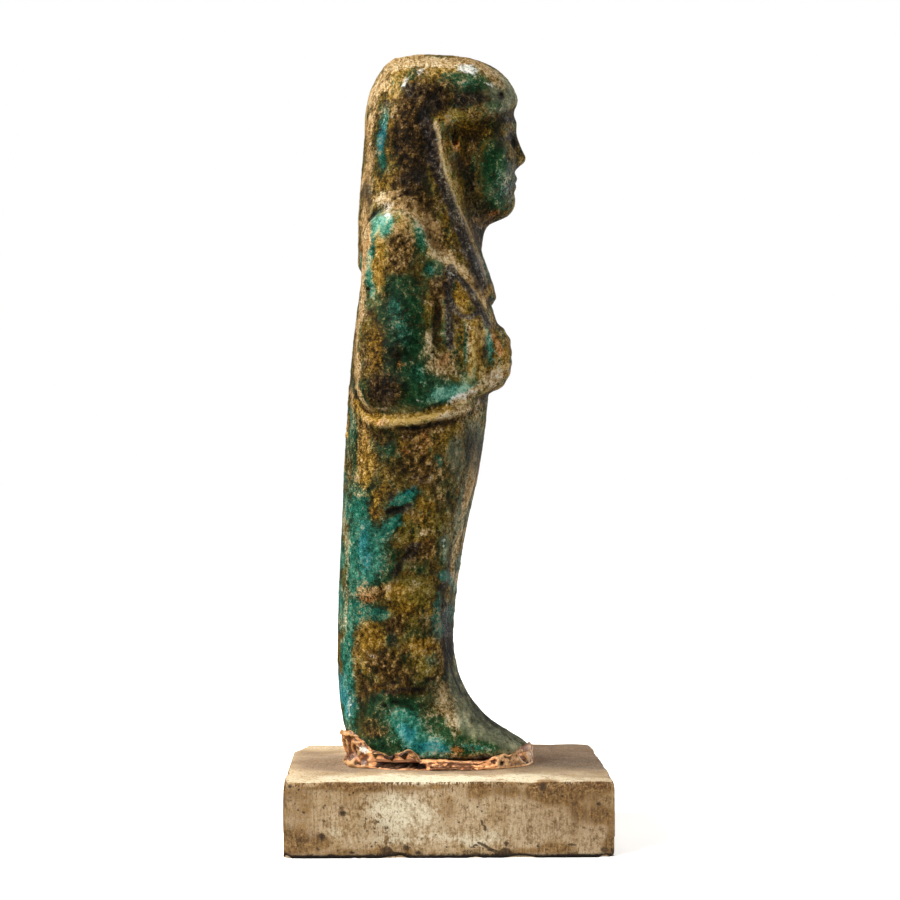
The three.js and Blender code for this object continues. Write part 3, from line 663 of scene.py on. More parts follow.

# Where the whole surface is made lighter (or, below nothing, darker) than elsewhere: partly rubbed wear and
# dirt, partly painted light on lit tops and edges and painted shade
rubsAndPaintedLight = [
    (400, 204, 26, 14, 0.9, 15), (428, 230, 20, 9, 0.9, 45), (448, 260, 20, 7, 1.1, 38),
    (452, 165, 7, 44, 0.9, -8), (462, 122, 22, 7, 0.7), (410, 417, 46, 6, 1.3), (385, 228, 10, 26, 0.3),
    (450, 330, 26, 34, 0.4), (490, 350, 12, 26, 1), (430, 500, 34, 60, 0.3), (456, 706, 16, 30, 0.8, -20),
    (420, 429, 34, 6, 0.5), (400, 655, 34, 40, 0.3), (440, 362, 16, 16, 0.5), (405, 575, 40, 26, 0.2),
    (496, 738, 44, 12, 0.5, 28), (459, 620, 4, 60, 0.5), (430, 745, 40, 10, 0.2), (388, 395, 22, 14, -0.7),
    (412, 150, 18, 50, -0.4), (374, 352, 12, 26, -0.7, 5), (400, 330, 16, 40, -0.3, -10),
    (380, 130, 6, 50, -0.3, 3), (430, 95, 24, 12, -0.5), (398, 250, 16, 30, 0.2), (396, 86, 12, 18, 1.1, 30),
    (458, 69, 38, 6, 0.7, 8), (464, 87, 18, 6, -0.5, -6), (381, 210, 6, 9, 0.6), (379, 245, 6, 24, 0.6),
    (378, 300, 6, 20, 0.6), (450, 263, 22, 4, 1, 38), (452, 398, 34, 9, 0.8, -8), (470, 365, 8, 22, 0.7),
    (446, 548, 7, 22, 0.5), (345, 590, 4, 90, 0.4), (388, 186, 10, 8, -0.5), (452, 106, 16, 8, -0.5),
    (460, 388, 26, 14, 0.8, -20), (504, 368, 7, 12, 0.8, 20), (480, 208, 12, 20, 0.6, -15),
    (496, 172, 14, 22, 0.4), (418, 728, 42, 24, 0.4), (467, 530, 5, 56, 0.5, 10),
    (405, 428, 34, 3.4, 0.4, -2), (463, 300, 8, 14, 0.4, -20),
]

# What follows a line on both sides: points in the picture's pixels, and a half width
lines = {
    "paint": {                  # painted black lines
        "wigStripe": ([(423, 112), (426, 124), (430, 138), (433, 157), (442, 182), (453, 208), (464, 234),
            (474, 260), (483, 284)], 6.4),
        "hoeHandle": ([(452, 268), (468, 287), (481, 308), (491, 326)], 3.2),
        "hoeBlade": ([(452, 268), (449, 290), (449, 312), (450, 346)], 3.6),
        "hoeTie": ([(451, 300), (459, 314), (470, 318), (480, 311)], 2.6),
    },
    "rub": {                    # pale raised edges: rubbed glaze, and painted highlight where light catches them
        "wigEdge": ([(435, 122), (437, 132), (439, 142), (441, 155), (447, 178), (456, 202), (468, 228),
            (478, 255), (487, 282)], 2.2),
        "shoulderEdge": ([(385, 198), (405, 203), (422, 216)], 3.2),
        "cloakEdge": ([(430, 252), (441, 258), (450, 264), (464, 275), (477, 290), (487, 306)], 2.2),
        "armRim": ([(356, 386), (360, 398), (366, 408), (372, 413)], 1.7),
        "wristRim": ([(456, 402), (468, 396), (482, 387)], 4.2),
    },
    "lip": {                    # the pale top of the lip under the arms
        "armLip": ([(356, 404), (366, 414), (376, 419), (390, 421), (408, 420), (425, 417), (438, 413),
            (448, 409)], 5),
    },
    "crack": {                  # cracks and their dirt, and a painted shadow line under the lip
        "ankle": ([(376, 686), (388, 682), (404, 680), (420, 681), (436, 678)], 1.3),
        "knee": ([(388, 512), (399, 510), (412, 506)], 1.4),
        "shin": ([(402, 557), (412, 550), (421, 545)], 1.3),
        "heel": ([(378, 707), (392, 701), (404, 700)], 0.9),
        "hip": ([(396, 428), (412, 430), (430, 428), (444, 424)], 0.8),
    },
}
# Small holes: across, down and half width in the picture's pixels
pits = [
    (367, 289, 1.7), (394, 198, 1.8), (408, 205, 1.6), (400, 195, 1.3), (464, 66, 1.2), (503, 92, 1.8),
    (392, 240, 1.4), (398, 236, 1.3), (403, 243, 1.6), (396, 249, 1.4), (390, 256, 1.3), (400, 254, 1.2),
    (406, 250, 1.3), (394, 264, 1.4), (388, 270, 1.2), (399, 268, 1.1), (392, 279, 1.3), (404, 234, 1.2),
    (410, 240, 1.2), (413, 209, 1.3), (386, 193, 1.1), (406, 192, 1.2), (388, 285, 1.1), (379, 128, 1.1),
    (370, 106, 1.2), (392, 94, 1.3), (414, 84, 1.2), (421, 92, 1.4), (440, 120, 1), (396, 146, 1.2),
    (402, 160, 1.2), (392, 168, 1.1), (448, 344, 1.1), (434, 352, 1.2), (489, 372, 1.2), (372, 340, 1.1),
    (384, 392, 1.3), (378, 402, 1.1), (420, 462, 1.1), (398, 520, 1.2), (412, 604, 1.1), (386, 650, 1.2),
]


def patchesAt(across, down, patches):
    # each patch is 1 / (1 + r^4), with r counted in its own half widths; they add up
    total = np.zeros(across.shape)
    for x, y, halfWidth, halfHeight, strength, *turn in patches:
        angle = np.radians(sum(turn))       # a patch that gives no turn lies level
        right, below = across - x, down - y
        along = (right * np.cos(angle) + below * np.sin(angle)) / halfWidth
        beside = (-right * np.sin(angle) + below * np.cos(angle)) / halfHeight
        total += strength / (1 + (along ** 2 + beside ** 2) ** 2)
    return total


def lineAt(across, down, points, halfWidth):
    # one over one plus the fourth power of the distance from a broken line
    nearest = np.full(across.shape, 1e9)
    for (x0, y0), (x1, y1) in zip(points[:-1], points[1:]):
        dx, dy = x1 - x0, y1 - y0
        t = np.clip(((across - x0) * dx + (down - y0) * dy) / (dx * dx + dy * dy), 0, 1)
        nearest = np.minimum(nearest, np.hypot(across - x0 - t * dx, down - y0 - t * dy))
    return 1 / (1 + (nearest / halfWidth) ** 4)


def linesAt(across, down, kind):
    # all lines of one kind, added up
    return sum(lineAt(across, down, *line) for line in lines[kind].values())


def scattered(patches, seed, share):
    # the same kinds of mark for the sides that the picture doesn't show, moved about at random
    random = np.random.default_rng(seed)
    top, bottom = picture["figureDown"]
    moved = []
    for _, y, halfWidth, halfHeight, strength, *turn in patches:
        newDown = top + (y - top + random.uniform(-160, 160)) % (bottom - top)
        newAcross = random.uniform(*picture["figureAcross"])
        newWidth = halfWidth * random.uniform(0.8, 1.7)
        newHeight = max(halfHeight, 2.4) * random.uniform(0.7, 1.3)
        newTurn = sum(turn) + random.uniform(-25, 25)
        moved.append((newAcross, newDown, newWidth, newHeight, min(strength, 1.1) * share, newTurn))
    return moved


def figureFields(grid, normal):
    # every pigment's strength at every point: the marks as seen on the right side, others elsewhere
    warp = np.stack([crumbleAt(grid, 5.0, 4, 40 + axis) for axis in range(2)])
    stray = 7 * warp            # pixels by which a mark's edge wanders
    # the seen side ends along a ragged seam
    seam = 9 * crumbleAt(grid, 9.0, 4, 44)
    near = stepUp(seam - grid[..., 0], -6, 0)
    across, down = seenFrom(grid)
    mirrored = grid * np.array([-1.0, 1, 1])
    acrossFar, downFar = seenFrom(mirrored)
    # near the middle plane the surface turns away from the picture, and marks would be drawn out
    turned = stepUp(np.abs(normal[..., 1]), 0.45, 0.95) * (1 - stepUp(-grid[..., 0], 3, 8))
    fields = {}
    for number, (name, patches) in enumerate(marks.items()):
        swirl = turned * 34 * crumbleAt(grid, 7.0, 3, 80 + number)
        shown = patchesAt(across + stray[0] + swirl, down + stray[1] + swirl, patches)
        wide = 14 * crumbleAt(grid, 16.0, 2, 60 + number) + swirl
        hidden = patchesAt(acrossFar + wide + stray[0], downFar - wide + stray[1],
                           scattered(patches, 7 + number, 0.45 if name == "white" else 0.9))
        fields[name] = near * shown + (1 - near) * hidden
    bothAcross = np.where(grid[..., 0] < 0, across, acrossFar)
    bothDown = np.where(grid[..., 0] < 0, down, downFar)
    wobble = 1.2 * warp[0]
    for kind in lines:
        unsteady = wobble * (2.5 if kind == "crack" else 1)
        fields[kind] = linesAt(bothAcross + unsteady, bothDown + unsteady, kind)
    fields["paint"] = fields["paint"] * (1 - 0.5 * stepUp(grid[..., 0], -1, 1))
    fields["paint"] += inscriptionAt(grid, normal)
    fields["paint"] += eyesAt(grid)
    fields["ochre"] += 1.1 * fields["lip"]
    # rubbed wear, and painted light and shade
    fields["lift"] = patchesAt(bothAcross + wobble, bothDown + wobble, rubsAndPaintedLight)
    fields["pit"] = near * sum(np.exp(-((across - x) ** 2 + (down - y) ** 2) / size ** 2)
                               for x, y, size in pits)
    # cracks darken, and the line under the lip is painted shadow
    fields["dark"] += 1.3 * fields["pit"] + 1.0 * fields["crack"]
    return fields


# Painted eyes, in millimetres out from the middle and above the sole
eyes = {
    "middle": (3.3, 96.5),
    "half": (2.0, 0.95),
    "corner": (5.2, 7.2, 96.3),         # from, to and height
    "brow": (1.2, 7.0, 99.5),
}


def eyesAt(grid):
    # worn painted eyes and brows of the usual kind, the same on both sides
    side, z = np.abs(grid[..., 0]), grid[..., 2] - soleHeight
    front = stepUp(-grid[..., 1], 3, 6)
    (out, height), (halfWidth, halfHeight) = eyes["middle"], eyes["half"]
    around = np.sqrt(((side - out) / halfWidth) ** 2 + ((z - height) / halfHeight) ** 2)
    outline = np.exp(-((around - 1) / 0.30) ** 4) + 0.8 * np.exp(-(around / 0.42) ** 4)
    inner, outer, height = eyes["corner"]
    corner = bell(z, height - 0.06 * (side - 5), 0.32) * within(side, inner, outer, 0.5)
    inner, outer, height = eyes["brow"]
    brow = bell(z, height - 0.035 * (side - 2.6) ** 2, 0.42) * within(side, inner, outer, 0.6)
    return 0.85 * np.maximum(outline, np.maximum(corner, brow)) * front


# The painted column down the front, in millimetres above the sole
column = {
    "from": 9,
    "to": 51,
    "border": 4.9,              # how far each border line is from the middle
    "firstRow": 48.5,
    "rowStep": 3.3,
    "rows": 12,
    "places": (-2.6, 0, 2.6),   # where each row has its strokes
    "seed": 31,
}


def inscriptionAt(grid, normal):
    # two border lines, and between them rows of short strokes that spell nothing
    random = np.random.default_rng(column["seed"])
    x, z = grid[..., 0], grid[..., 2] - soleHeight
    front = stepUp(-normal[..., 1], 0.2, 0.6) * within(z, column["from"], column["to"], 1.5)
    wander = 0.25 * crumbleAt(grid, 6.0, 2, 77)
    ink = 0.9 * bell(np.abs(x) + wander, column["border"], 0.42)
    for row in range(column["rows"]):
        height = column["firstRow"] - row * column["rowStep"]
        for place in column["places"]:
            shift, turn = random.uniform(-0.5, 0.5, 2)
            long, wide = random.uniform(0.5, 1.2), random.uniform(0.16, 0.3)
            if random.random() < 0.5:
                long, wide = wide, long
            right, up = x - place - shift, z - height - turn
            ink += 0.8 * np.exp(-(right / long) ** 4 - (up / wide) ** 4)
    return ink * front


def figurePiece():
    # the skin where rays from the axis leave the form: level rows up to crownStart, then rows that
    # fan up over the head, with the columns closer together in front
    across = np.arange(figure["columns"]) / figure["columns"]
    angle = 2 * np.pi * across - figure["crowding"] * np.sin(2 * np.pi * across)
    rows = rowHeights(figure["bodyRows"])
    fan = np.arange(1, figure["crownRows"]) / figure["crownRows"] * np.pi / 2
    level = np.concatenate([rows, np.full(len(fan), figure["crownStart"])])
    slant = np.concatenate([np.zeros(len(rows)), fan])
    shape = (len(level), figure["columns"])
    axis = curveThrough(figure["axis"], level)
    origin = np.stack([np.zeros(shape), np.broadcast_to(axis[:, None], shape),
                       np.broadcast_to(level[:, None], shape)])
    direction = facing(np.broadcast_to(angle, shape), np.broadcast_to(slant[:, None], shape))
    reach = reachAlong(origin, direction)
    grid = np.moveaxis(origin + direction * reach, 0, -1)
    top = np.array([0, axis[-1], figure["crownStart"] + reach[-1].mean()])
    place = np.array([0, figure["y"], soleHeight])
    grid, top = grid + place, top + place
    print("figure's form solved")

    normal = normalsOf(grid)
    fields = figureFields(grid, normal)
    # the surface wanders a little, crust stands up in grains, and pits go down
    crusty = np.clip(fields["brown"] + fields["ochre"] * 0.8 + 0.25, 0, 1.2)
    crusty = crusty * (1 - 0.85 * np.clip(fields["lip"], 0, 1))
    swell = figure["swell"] * (crumbleAt(grid, 7.0, 2, 3) - 0.4)
    grains = 0.65 * crumbleAt(grid, 2.0, 2, 9) + 0.7 * crumbleAt(grid, 0.9, 2, 12)
    raised = figure["crust"] * crusty * (np.abs(grains) * 1.5 - 0.45)
    # the face stays calmer than the rest, and the sole's edge isn't moved
    height = grid[..., 2] - soleHeight
    calm = 1 - 0.55 * within(height, 84, 101, 2) * stepUp(-normal[..., 1], 0, 0.6)
    fade = stepUp(height, 0.3, 2.0)
    sunk = figure["pitDepth"] * np.clip(fields["pit"] + 0.4 * fields["crack"], 0, 1)
    move = (swell + raised - 0.1) * calm * fade - sunk
    move = np.minimum(move, 0.02 + 0.2 * (1 - stepUp(height, 105, 109)))
    grid = grid + normal * move[..., None]
    normal = normalsOf(grid)
    fields["hollow"] = np.clip(hollownessOf(grid, normal, 3) / 0.10, -1, 1)
    fields["recess"] = np.clip(hollownessOf(grid, normal, 9) / 0.55, -1, 1)
    bottom = np.array([0, axis[0], figure["lift"]]) + place
    return wrappedMesh("faience_figure", grid, bottom, top - [0, 0, 0.1], fields)


# Each pigment in five tones, from its darkest, where hollows and recesses lower the tone, to its rubbed
# grains, and where the painted or stained field has to reach before it shows, how softly, and how much of it
# shows
pigments = {
    "body": ((22, 15, 3), (60, 45, 12), (106, 83, 28), (154, 124, 54), (214, 184, 116)),
    "olive": ((20, 18, 2), (58, 52, 10), (102, 88, 22), (144, 122, 46), (198, 174, 102)),
    "grey": ((22, 24, 17), (54, 59, 44), (92, 98, 75), (140, 144, 114), (204, 202, 170)),
    "green": ((3, 11, 4), (8, 29, 12), (17, 52, 27), (41, 82, 48), (114, 138, 88)),
    "turquoise": ((5, 23, 16), (12, 56, 43), (26, 94, 76), (58, 138, 115), (140, 196, 170)),
    "blue": ((6, 34, 40), (14, 78, 86), (30, 122, 132), (70, 162, 164), (166, 216, 206)),
    "ochre": ((32, 20, 2), (80, 56, 8), (134, 98, 22), (176, 137, 50), (220, 184, 106)),
    "tan": ((78, 54, 26), (128, 97, 55), (174, 139, 88), (214, 182, 130), (246, 228, 192)),
    "brown": ((8, 5, 1), (29, 19, 5), (65, 45, 15), (118, 88, 40), (200, 160, 98)),
    "rust": ((50, 20, 6), (102, 54, 16), (160, 96, 38), (204, 142, 76), (234, 188, 138)),
    "rub": ((70, 50, 22), (132, 101, 52), (190, 156, 100), (224, 192, 136), (246, 224, 182)),
    "dark": ((4, 4, 3), (14, 12, 10), (30, 26, 22), (56, 49, 40), (114, 102, 80)),
    "paint": ((5, 5, 5), (18, 16, 18), (41, 37, 38), (78, 72, 67), (150, 138, 114)),
    "white": ((150, 152, 128), (200, 202, 178), (236, 236, 218), (250, 250, 240), (255, 255, 252)),
    "speck": (14, 11, 7),       # a single colour
}
layers = {                      # in the order they lie: threshold, softness, share
    "olive": (0.52, 0.4, 1), "grey": (0.56, 0.42, 0.9), "green": (0.5, 0.38, 1), "turquoise": (0.6, 0.34, 1),
    "blue": (0.66, 0.4, 0.85), "ochre": (0.58, 0.4, 1), "tan": (0.6, 0.42, 0.95), "brown": (0.58, 0.4, 0.95),
    "rust": (0.66, 0.4, 0.9), "rub": (0.6, 0.4, 0.9), "dark": (0.62, 0.38, 0.92), "paint": (0.55, 0.3, 0.92),
    "white": (0.8, 0.36, 0.9),
}
glazes = ("green", "turquoise", "blue", "grey", "white")    # these lie smoother than the crust
flecks = [                      # size in millimetres, where the fleck starts, and how much of it shows
    ("ochre", 1.6, 0.01, 0.75), ("green", 2, 0, 0.85), ("olive", 1.5, 0.02, 0.7),
    ("turquoise", 1.2, 0.09, 0.6), ("dark", 1.3, 0.08, 0.75), ("rust", 0.9, 0.11, 0.6),
    ("tan", 0.8, 0.1, 0.5), ("grey", 1.4, 0.11, 0.5),
]


def faienceFinish(piece):
    # tone = grains of four sizes + curvature; colour = the pigments laid over each other, all in
    # the same tone, each where its field and the grains together pass its threshold
    f = Finish("wornFaience")
    coarse, middle = f.grain(3.4, 4, 0.6), f.grain(1.3, 4, 0.62, shift=5)
    fine, sand = f.grain(0.55, 3, 0.65, shift=11), f.grain(0.22, 2, 0.7, shift=17)
    streak = f.grain(1.1, 4, 0.62, stretch=(1, 1, 0.25), shift=23)
    gaps = f.cells(0.42, shift=29)      # grains of crust: low in the middle of each, high between them
    hollow, recess, lift = f.field("hollow"), f.field("recess"), f.field("lift")
    smooth = coarse * 0.7 + middle * 0.85 + fine * 0.75 + sand * 0.55
    # lift carries rubbed wear and painted light and shade alike
    smooth = smooth + lift * 0.3 + streak * 0.7 - hollow * 0.20
    # darker where the surface is hollow or lies in a recess, except on the lip
    smooth = smooth - (recess - f.field("lip")).between(0.0, 1.0) * 0.22 + 0.48
    rough = smooth + fine * 0.6 + sand * 0.58 + (0.42 - gaps) * 0.36
    ragged = coarse * 0.9 + middle * 1.3 + fine * 1.5 + sand * 0.8

    def shade(name, shift=0.0):
        tone = smooth if name in glazes else rough
        return f.toned(tone + shift, (0, 0.28, 0.52, 0.76, 1), pigments[name])

    # under the marks, flecks of every pigment lie mixed, drawn out downwards
    f.colour = f.mixed(coarse.between(-0.08, 0.08), shade("body"), shade("brown", 0.06))
    for number, (name, size, low, share) in enumerate(flecks):
        fleck = f.grain(size, 4, 0.66, stretch=(1, 1, 0.6), shift=31 + 7 * number)
        f.lay(fleck.between(low, low + 0.10) * share, shade(name))
    masks = {}
    for name, (threshold, soft, share) in layers.items():
        field = f.field(name)
        if name == "green":             # the turquoise fades through green at its edges
            field = field + f.field("turquoise") * 1.2
        masks[name] = (field + ragged).between(threshold - soft, threshold + soft) * share
        f.lay(masks[name], shade(name))
    specks = f.cells(1.0, shift=3).between(0.20, 0.09) * middle.between(0, 0.12)
    f.lay(specks * 0.75, tint(*pigments["speck"]))
    glazed = masks["green"].orMore(masks["turquoise"]).orMore(masks["white"])
    # a fine network of crazing, filled with pale dirt, where the glaze is whole
    crazed = f.cells(1.3, shift=61, feature="DISTANCE_TO_EDGE") + fine * 0.5
    crazed = crazed.between(0.10, 0.0) * coarse.between(-0.06, 0.1)
    f.lay(crazed * 0.18, shade("tan"))
    dull = (1 - glazed) * 0.40 + sand * 0.5 + 0.30
    height = middle * 0.8 + fine * 1.1 + sand * 0.7 - specks * 0.4 - gaps * (1 - glazed * 0.6) * 0.6
    f.dress(piece, Base_Color=f.colour, Roughness=dull, Specular_IOR_Level=0.06,
            Normal=f.bumped(height, 1.2))


shabti = figurePiece()
faienceFinish(shabti)
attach(shabti, "root")
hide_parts("shabti_figure")
print("figure made")


# The wax: a dish that the foot stands in, as rings round a middle point. On the side that the
# picture shows, its height in millimetres goes by the picture's pixels from left to right.
wax = {
    "axis": -2.35,              # where its middle lies, in the figure's own measure
    "clearance": 0.3,
    "columns": 480,
    "heelAngle": 3.64,
    "shownHeight": [(330, 6.4), (341, 6.4), (346, 5.9), (350, 5.4), (354, 5.7), (358, 5.3), (362, 4.8),
                    (367, 4.2), (371, 3.2), (377, 2.8), (383, 2.4), (387, 1.9), (392, 2.4), (400, 2.8),
                    (409, 3.2), (413, 2.7), (417, 1.7), (425, 1.55), (440, 1.45), (460, 1.35), (480, 1.2),
                    (490, 1.3), (497, 1.9), (505, 2.3), (512, 2.5), (518, 2.9), (524, 3.2), (535, 3.3)],
    "flange": (336, 374),       # the heel spreads over the block here
    "heelEnd": (366, 376),      # caramel wax up to here, paler wax beyond
    "tongue": (374, 416),       # it overhangs
    "hollow": (375, 425),       # the dark gap under the tongue
    "hollowSinks": (385, 412),  # the gap runs lower from here to there
    "strip": (428, 494),        # the layered strip
    "crumb": (497, 540),        # the porous crumb under the toe
    "holes": [(509, 755, 3.6, 3, 1.2, -30), (525, 758, 1.8, 4, 1.2, -30), (494, 761, 2.6, 2, 0.9),
              (503, 764, 2.2, 1.8, 0.7), (356, 739, 3.2, 2, 1, 20), (354, 750, 1.6, 4, 0.9, -10),
              (346, 745, 1.2, 5, 0.8, -8), (357, 764, 2.4, 3, 0.8), (341, 722, 1.2, 3, 0.8)],
    "chalk": [(364, 750, 5, 3.4, 1.2, 20), (498, 752, 4, 2, 0.7), (520, 748, 5, 2, 0.7, -20)],
    "lumps": 0.42,              # how ragged the surface is
    "sideRows": 20,
    "crestStart": 0.84,         # the share of the height at which the side turns over
}
waxFloor = soleHeight - baseTop - wax["clearance"]


def angleApart(a, b):
    # the shorter way round from b to a
    return np.arctan2(np.sin(a - b), np.cos(a - b))


def waxMargin(angle):
    # how far the wax reaches past the foot: lumpy by three sines, narrower at toe and heel
    lumps = 0.3 * np.sin(3 * angle + 0.6) + 0.2 * np.sin(7 * angle + 2.1) + 0.15 * np.sin(13 * angle + 4)
    toe = 1.1 * bell(angleApart(angle, 0), 0, 0.7)
    heel = 0.8 * bell(angleApart(angle, np.pi), 0, 0.7)
    return np.maximum(1.35 + lumps - toe - heel, 0.45)


def waxHeight(angle):
    # how high it stands on the unseen side: lumpy by two sines, with a peak on each side of the heel
    lumps = 0.25 * np.sin(5 * angle + 1) + 0.2 * np.sin(11 * angle)
    rightHeel = 4.6 * bell(angleApart(angle, wax["heelAngle"]), 0, 0.36)
    leftHeel = 1.6 * bell(angleApart(angle, 2.5), 0, 0.3)
    return 2.1 + lumps + rightHeel + leftHeel


def waxPiece():
    # one profile of rings, from the middle of the underside out, up the side, over the crest and
    # down inside along the foot; every ring follows the foot's own outline
    angle = np.arange(wax["columns"]) / wax["columns"] * 2 * np.pi
    margin = waxMargin(angle)
    ray = facing(angle, 0 * angle)
    lift = baseTop - soleHeight
    centre = np.array([0, wax["axis"] + figure["y"], baseTop])

    def footReach(z):
        # the foot's own reach at this height over the block, and the clearance round it
        level = np.maximum(z + lift, 0.5)
        origin = np.stack([0 * angle, 0 * angle + wax["axis"], level + 0 * angle])
        return reachAlong(origin, ray) + wax["clearance"]

    foot = footReach(0 * angle)
    outer = foot + margin
    across, _ = seenFrom(centre + np.stack([ray[0] * outer, ray[1] * outer, 0 * angle], -1))
    near = stepUp(-ray[0] * outer, -1.0, 2.5)
    shown = curveThrough(wax["shownHeight"], across)
    height = near * shown + (1 - near) * waxHeight(angle)
    rim = footReach(height)
    ends = bell(angleApart(angle, np.pi), 0, 0.7) + bell(angleApart(angle, 0), 0, 0.5)
    crest = np.maximum(outer * 0.985, rim + 0.6 - 0.35 * ends)
    hollow = near * within(across, *wax["hollow"], 3)
    strip = near * within(across, *wax["strip"], 4)
    caramel = near * (1 - stepUp(across, *wax["heelEnd"])) + (1 - near) * stepUp(-np.cos(angle), 0.75, 0.95)
    tongue = near * within(across, *wax["tongue"], 3)
    flange = near * within(across, *wax["flange"], 6)
    # every ring is (reach, height)
    rings = [(foot * share, 0 * angle) for share in (0.3, 0.7, 0.9)]
    rings += [(outer * 0.985, 0 * angle), (outer * 0.998 + 0.5 * flange, 0 * angle + 0.05)]
    gap = 0.42 - 0.12 * stepUp(across, *wax["hollowSinks"]) + 0.10 * np.sin(across * 0.5)
    for t in np.linspace(0.06, wax["crestStart"], wax["sideRows"]):
        bulge = outer + (crest - outer) * t + 0.12 * np.sin(np.pi * t)
        cave = hollow * np.exp(-((t - gap) / 0.30) ** 4) * (margin + 1.6)
        ledges = np.abs(np.sin(np.pi * (3.0 * t + 0.5 * np.sin(angle * 11) + 0.3 * np.sin(angle * 29))))
        shelf = 0.45 * strip * (0.5 - ledges) + 0.5 * strip * (t < 0.5)
        rings.append((bulge - cave + shelf + flange * 0.9 * bell(t, 0.08, 0.16), height * t))
    for t in np.linspace(0.12, 1, 9):
        turn = t * np.pi / 2
        over = crest + (rim + 0.12 - crest) * (1 - np.cos(turn))
        rings.append((over, height * (wax["crestStart"] + (1 - wax["crestStart"]) * np.sin(turn))))
    for t in np.linspace(0.12, 1, 8):
        inside = (height - 0.15) + (waxFloor - height + 0.15) * t
        rings.append((footReach(inside), inside))
    rings += [(foot * share, 0 * angle + waxFloor) for share in (0.9, 0.6, 0.3)]
    reach = np.stack([ring[0] for ring in rings])
    level = np.stack([ring[1] for ring in rings])
    grid = np.stack([ray[0] * reach, ray[1] * reach, level], -1) + centre

    normal = normalsOf(grid)
    # the rows that stand free run from the edge of the underside to a little past the crest
    row = np.arange(len(rings))[:, None]
    free = stepUp(row, 3, 6) * (1 - stepUp(row, wax["sideRows"] + 11, wax["sideRows"] + 15)) + 0 * reach
    spread = free * near * within(across, *wax["crumb"], 3)
    lumps = crumbleAt(grid, 2.2, 3, 21) + 1.1 * np.abs(crumbleAt(grid, 0.9, 3, 25)) - 0.45
    holes = np.clip(crumbleAt(grid, 0.9, 3, 33) - 0.22, 0, 1) * 1.6
    across, down = seenFrom(grid)
    bored = near * free * np.clip(patchesAt(across, down, wax["holes"]), 0, 1)
    move = free * wax["lumps"] * lumps * (1 + 0.7 * caramel) - spread * holes - 1.1 * bored
    grid = grid + normal * move[..., None]
    grid[..., 2] = np.maximum(grid[..., 2], baseTop)
    normal = normalsOf(grid)
    fields = {
        "caramel": free * np.maximum(caramel, tongue * stepUp(row, 16, 20)),
        "crumbly": spread,
        "pitted": np.clip(spread * np.clip(holes, 0, 1) + bored, 0, 1),
        "chalk": near * free * patchesAt(across, down, wax["chalk"]),
        "cave": hollow * free * np.exp(-((level / height - gap - 0.06) / 0.42) ** 4),
        "hollow": np.clip(hollownessOf(grid, normal, 3) / 0.12, -1, 1),
    }
    return wrappedMesh("wax_bed", grid, centre, centre + [0, 0, waxFloor], fields)


waxColours = {                  # for each kind of wax its shade, itself, its grains and its creases
    "sheet": ((156, 86, 46), (247, 177, 120), (252, 202, 152), (112, 62, 38)),
    "caramel": ((54, 26, 6), (134, 77, 27), (188, 130, 62), (70, 34, 8)),
    "crumb": ((86, 58, 34), (172, 132, 92)),
    # painted shade for the hollows, painted highlight for the ridges, painted shadow for the gap
    "hollow": (62, 30, 12),
    "ridgeHighlight": (238, 188, 126),
    "hole": (26, 14, 8),
    "gap": (22, 10, 4),
    "chalk": (206, 204, 194),
}


def waxFinish(piece):
    # pale sheets of wax, caramel wax at heel and tongue, and crumb at the toe, each in two tones; over them
    # painted shade in the hollows, painted highlight on the ridges, dark holes, painted shadow in the gap
    # under the tongue, and a little chalk
    f = Finish("mountingWax")
    middle, fine, sand = f.grain(1.4, 4, 0.6), f.grain(0.5, 3, 0.65, shift=4), f.grain(0.2, 2, 0.7, shift=9)
    sheets = f.grain(0.7, 3, 0.6, stretch=(0.25, 0.25, 2.4), shift=14)
    shade, plain, grains, creases = [tint(*colour) for colour in waxColours["sheet"]]
    f.colour = f.mixed(sheets.between(-0.14, 0.04), shade, plain)
    f.lay(fine.between(0.02, 0.16) * 0.7, grains)
    f.lay(middle.between(-0.08, -0.18) * 0.8, creases)
    shade, plain, grains, creases = [tint(*colour) for colour in waxColours["caramel"]]
    caramel = f.mixed(middle.between(-0.12, 0.12), shade, plain)
    caramel = f.mixed(fine.between(0.06, 0.18) * 0.6, caramel, grains)
    caramel = f.mixed(fine.between(-0.08, -0.16) * 0.8, caramel, creases)
    f.lay((f.field("caramel") + middle).between(0.3, 0.7), caramel)
    shade, plain = [tint(*colour) for colour in waxColours["crumb"]]
    crumb = f.mixed(fine.between(-0.14, 0.1), shade, plain)
    f.lay((f.field("crumbly") + middle).between(0.3, 0.7), crumb)
    # painted shade where the surface is hollow, painted highlight where it rises
    hollow = (f.field("hollow") + fine * 0.5).between(0.15, 0.9)
    ridgeHighlight = (0 - f.field("hollow")).between(0.4, 1.0)
    hole = f.field("pitted").between(0.2, 0.7)
    # painted shadow inside the gap under the tongue
    gap = (f.field("cave") + sheets * 1.3).between(0.30, 0.62)
    chalk = (f.field("chalk") + fine * 2.2 + sand * 1.6).between(0.6, 0.9)
    coats = (("hollow", hollow * 0.75), ("ridgeHighlight", ridgeHighlight * 0.35), ("hole", hole * 0.9),
             ("gap", gap * 0.95), ("chalk", chalk))
    for name, mask in coats:
        f.lay(mask, tint(*waxColours[name]))
    dull = 0.58 - f.field("caramel") * 0.28 + sand * 0.2
    f.dress(piece, Base_Color=f.colour, Roughness=dull, Specular_IOR_Level=0.4,
            Normal=f.bumped(middle * 0.5 + fine * 0.6 + sand * 0.2, 0.3))


waxBed = waxPiece()
waxFinish(waxBed)
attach(waxBed, "root")
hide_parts("mounting_wax")
print("wax made")


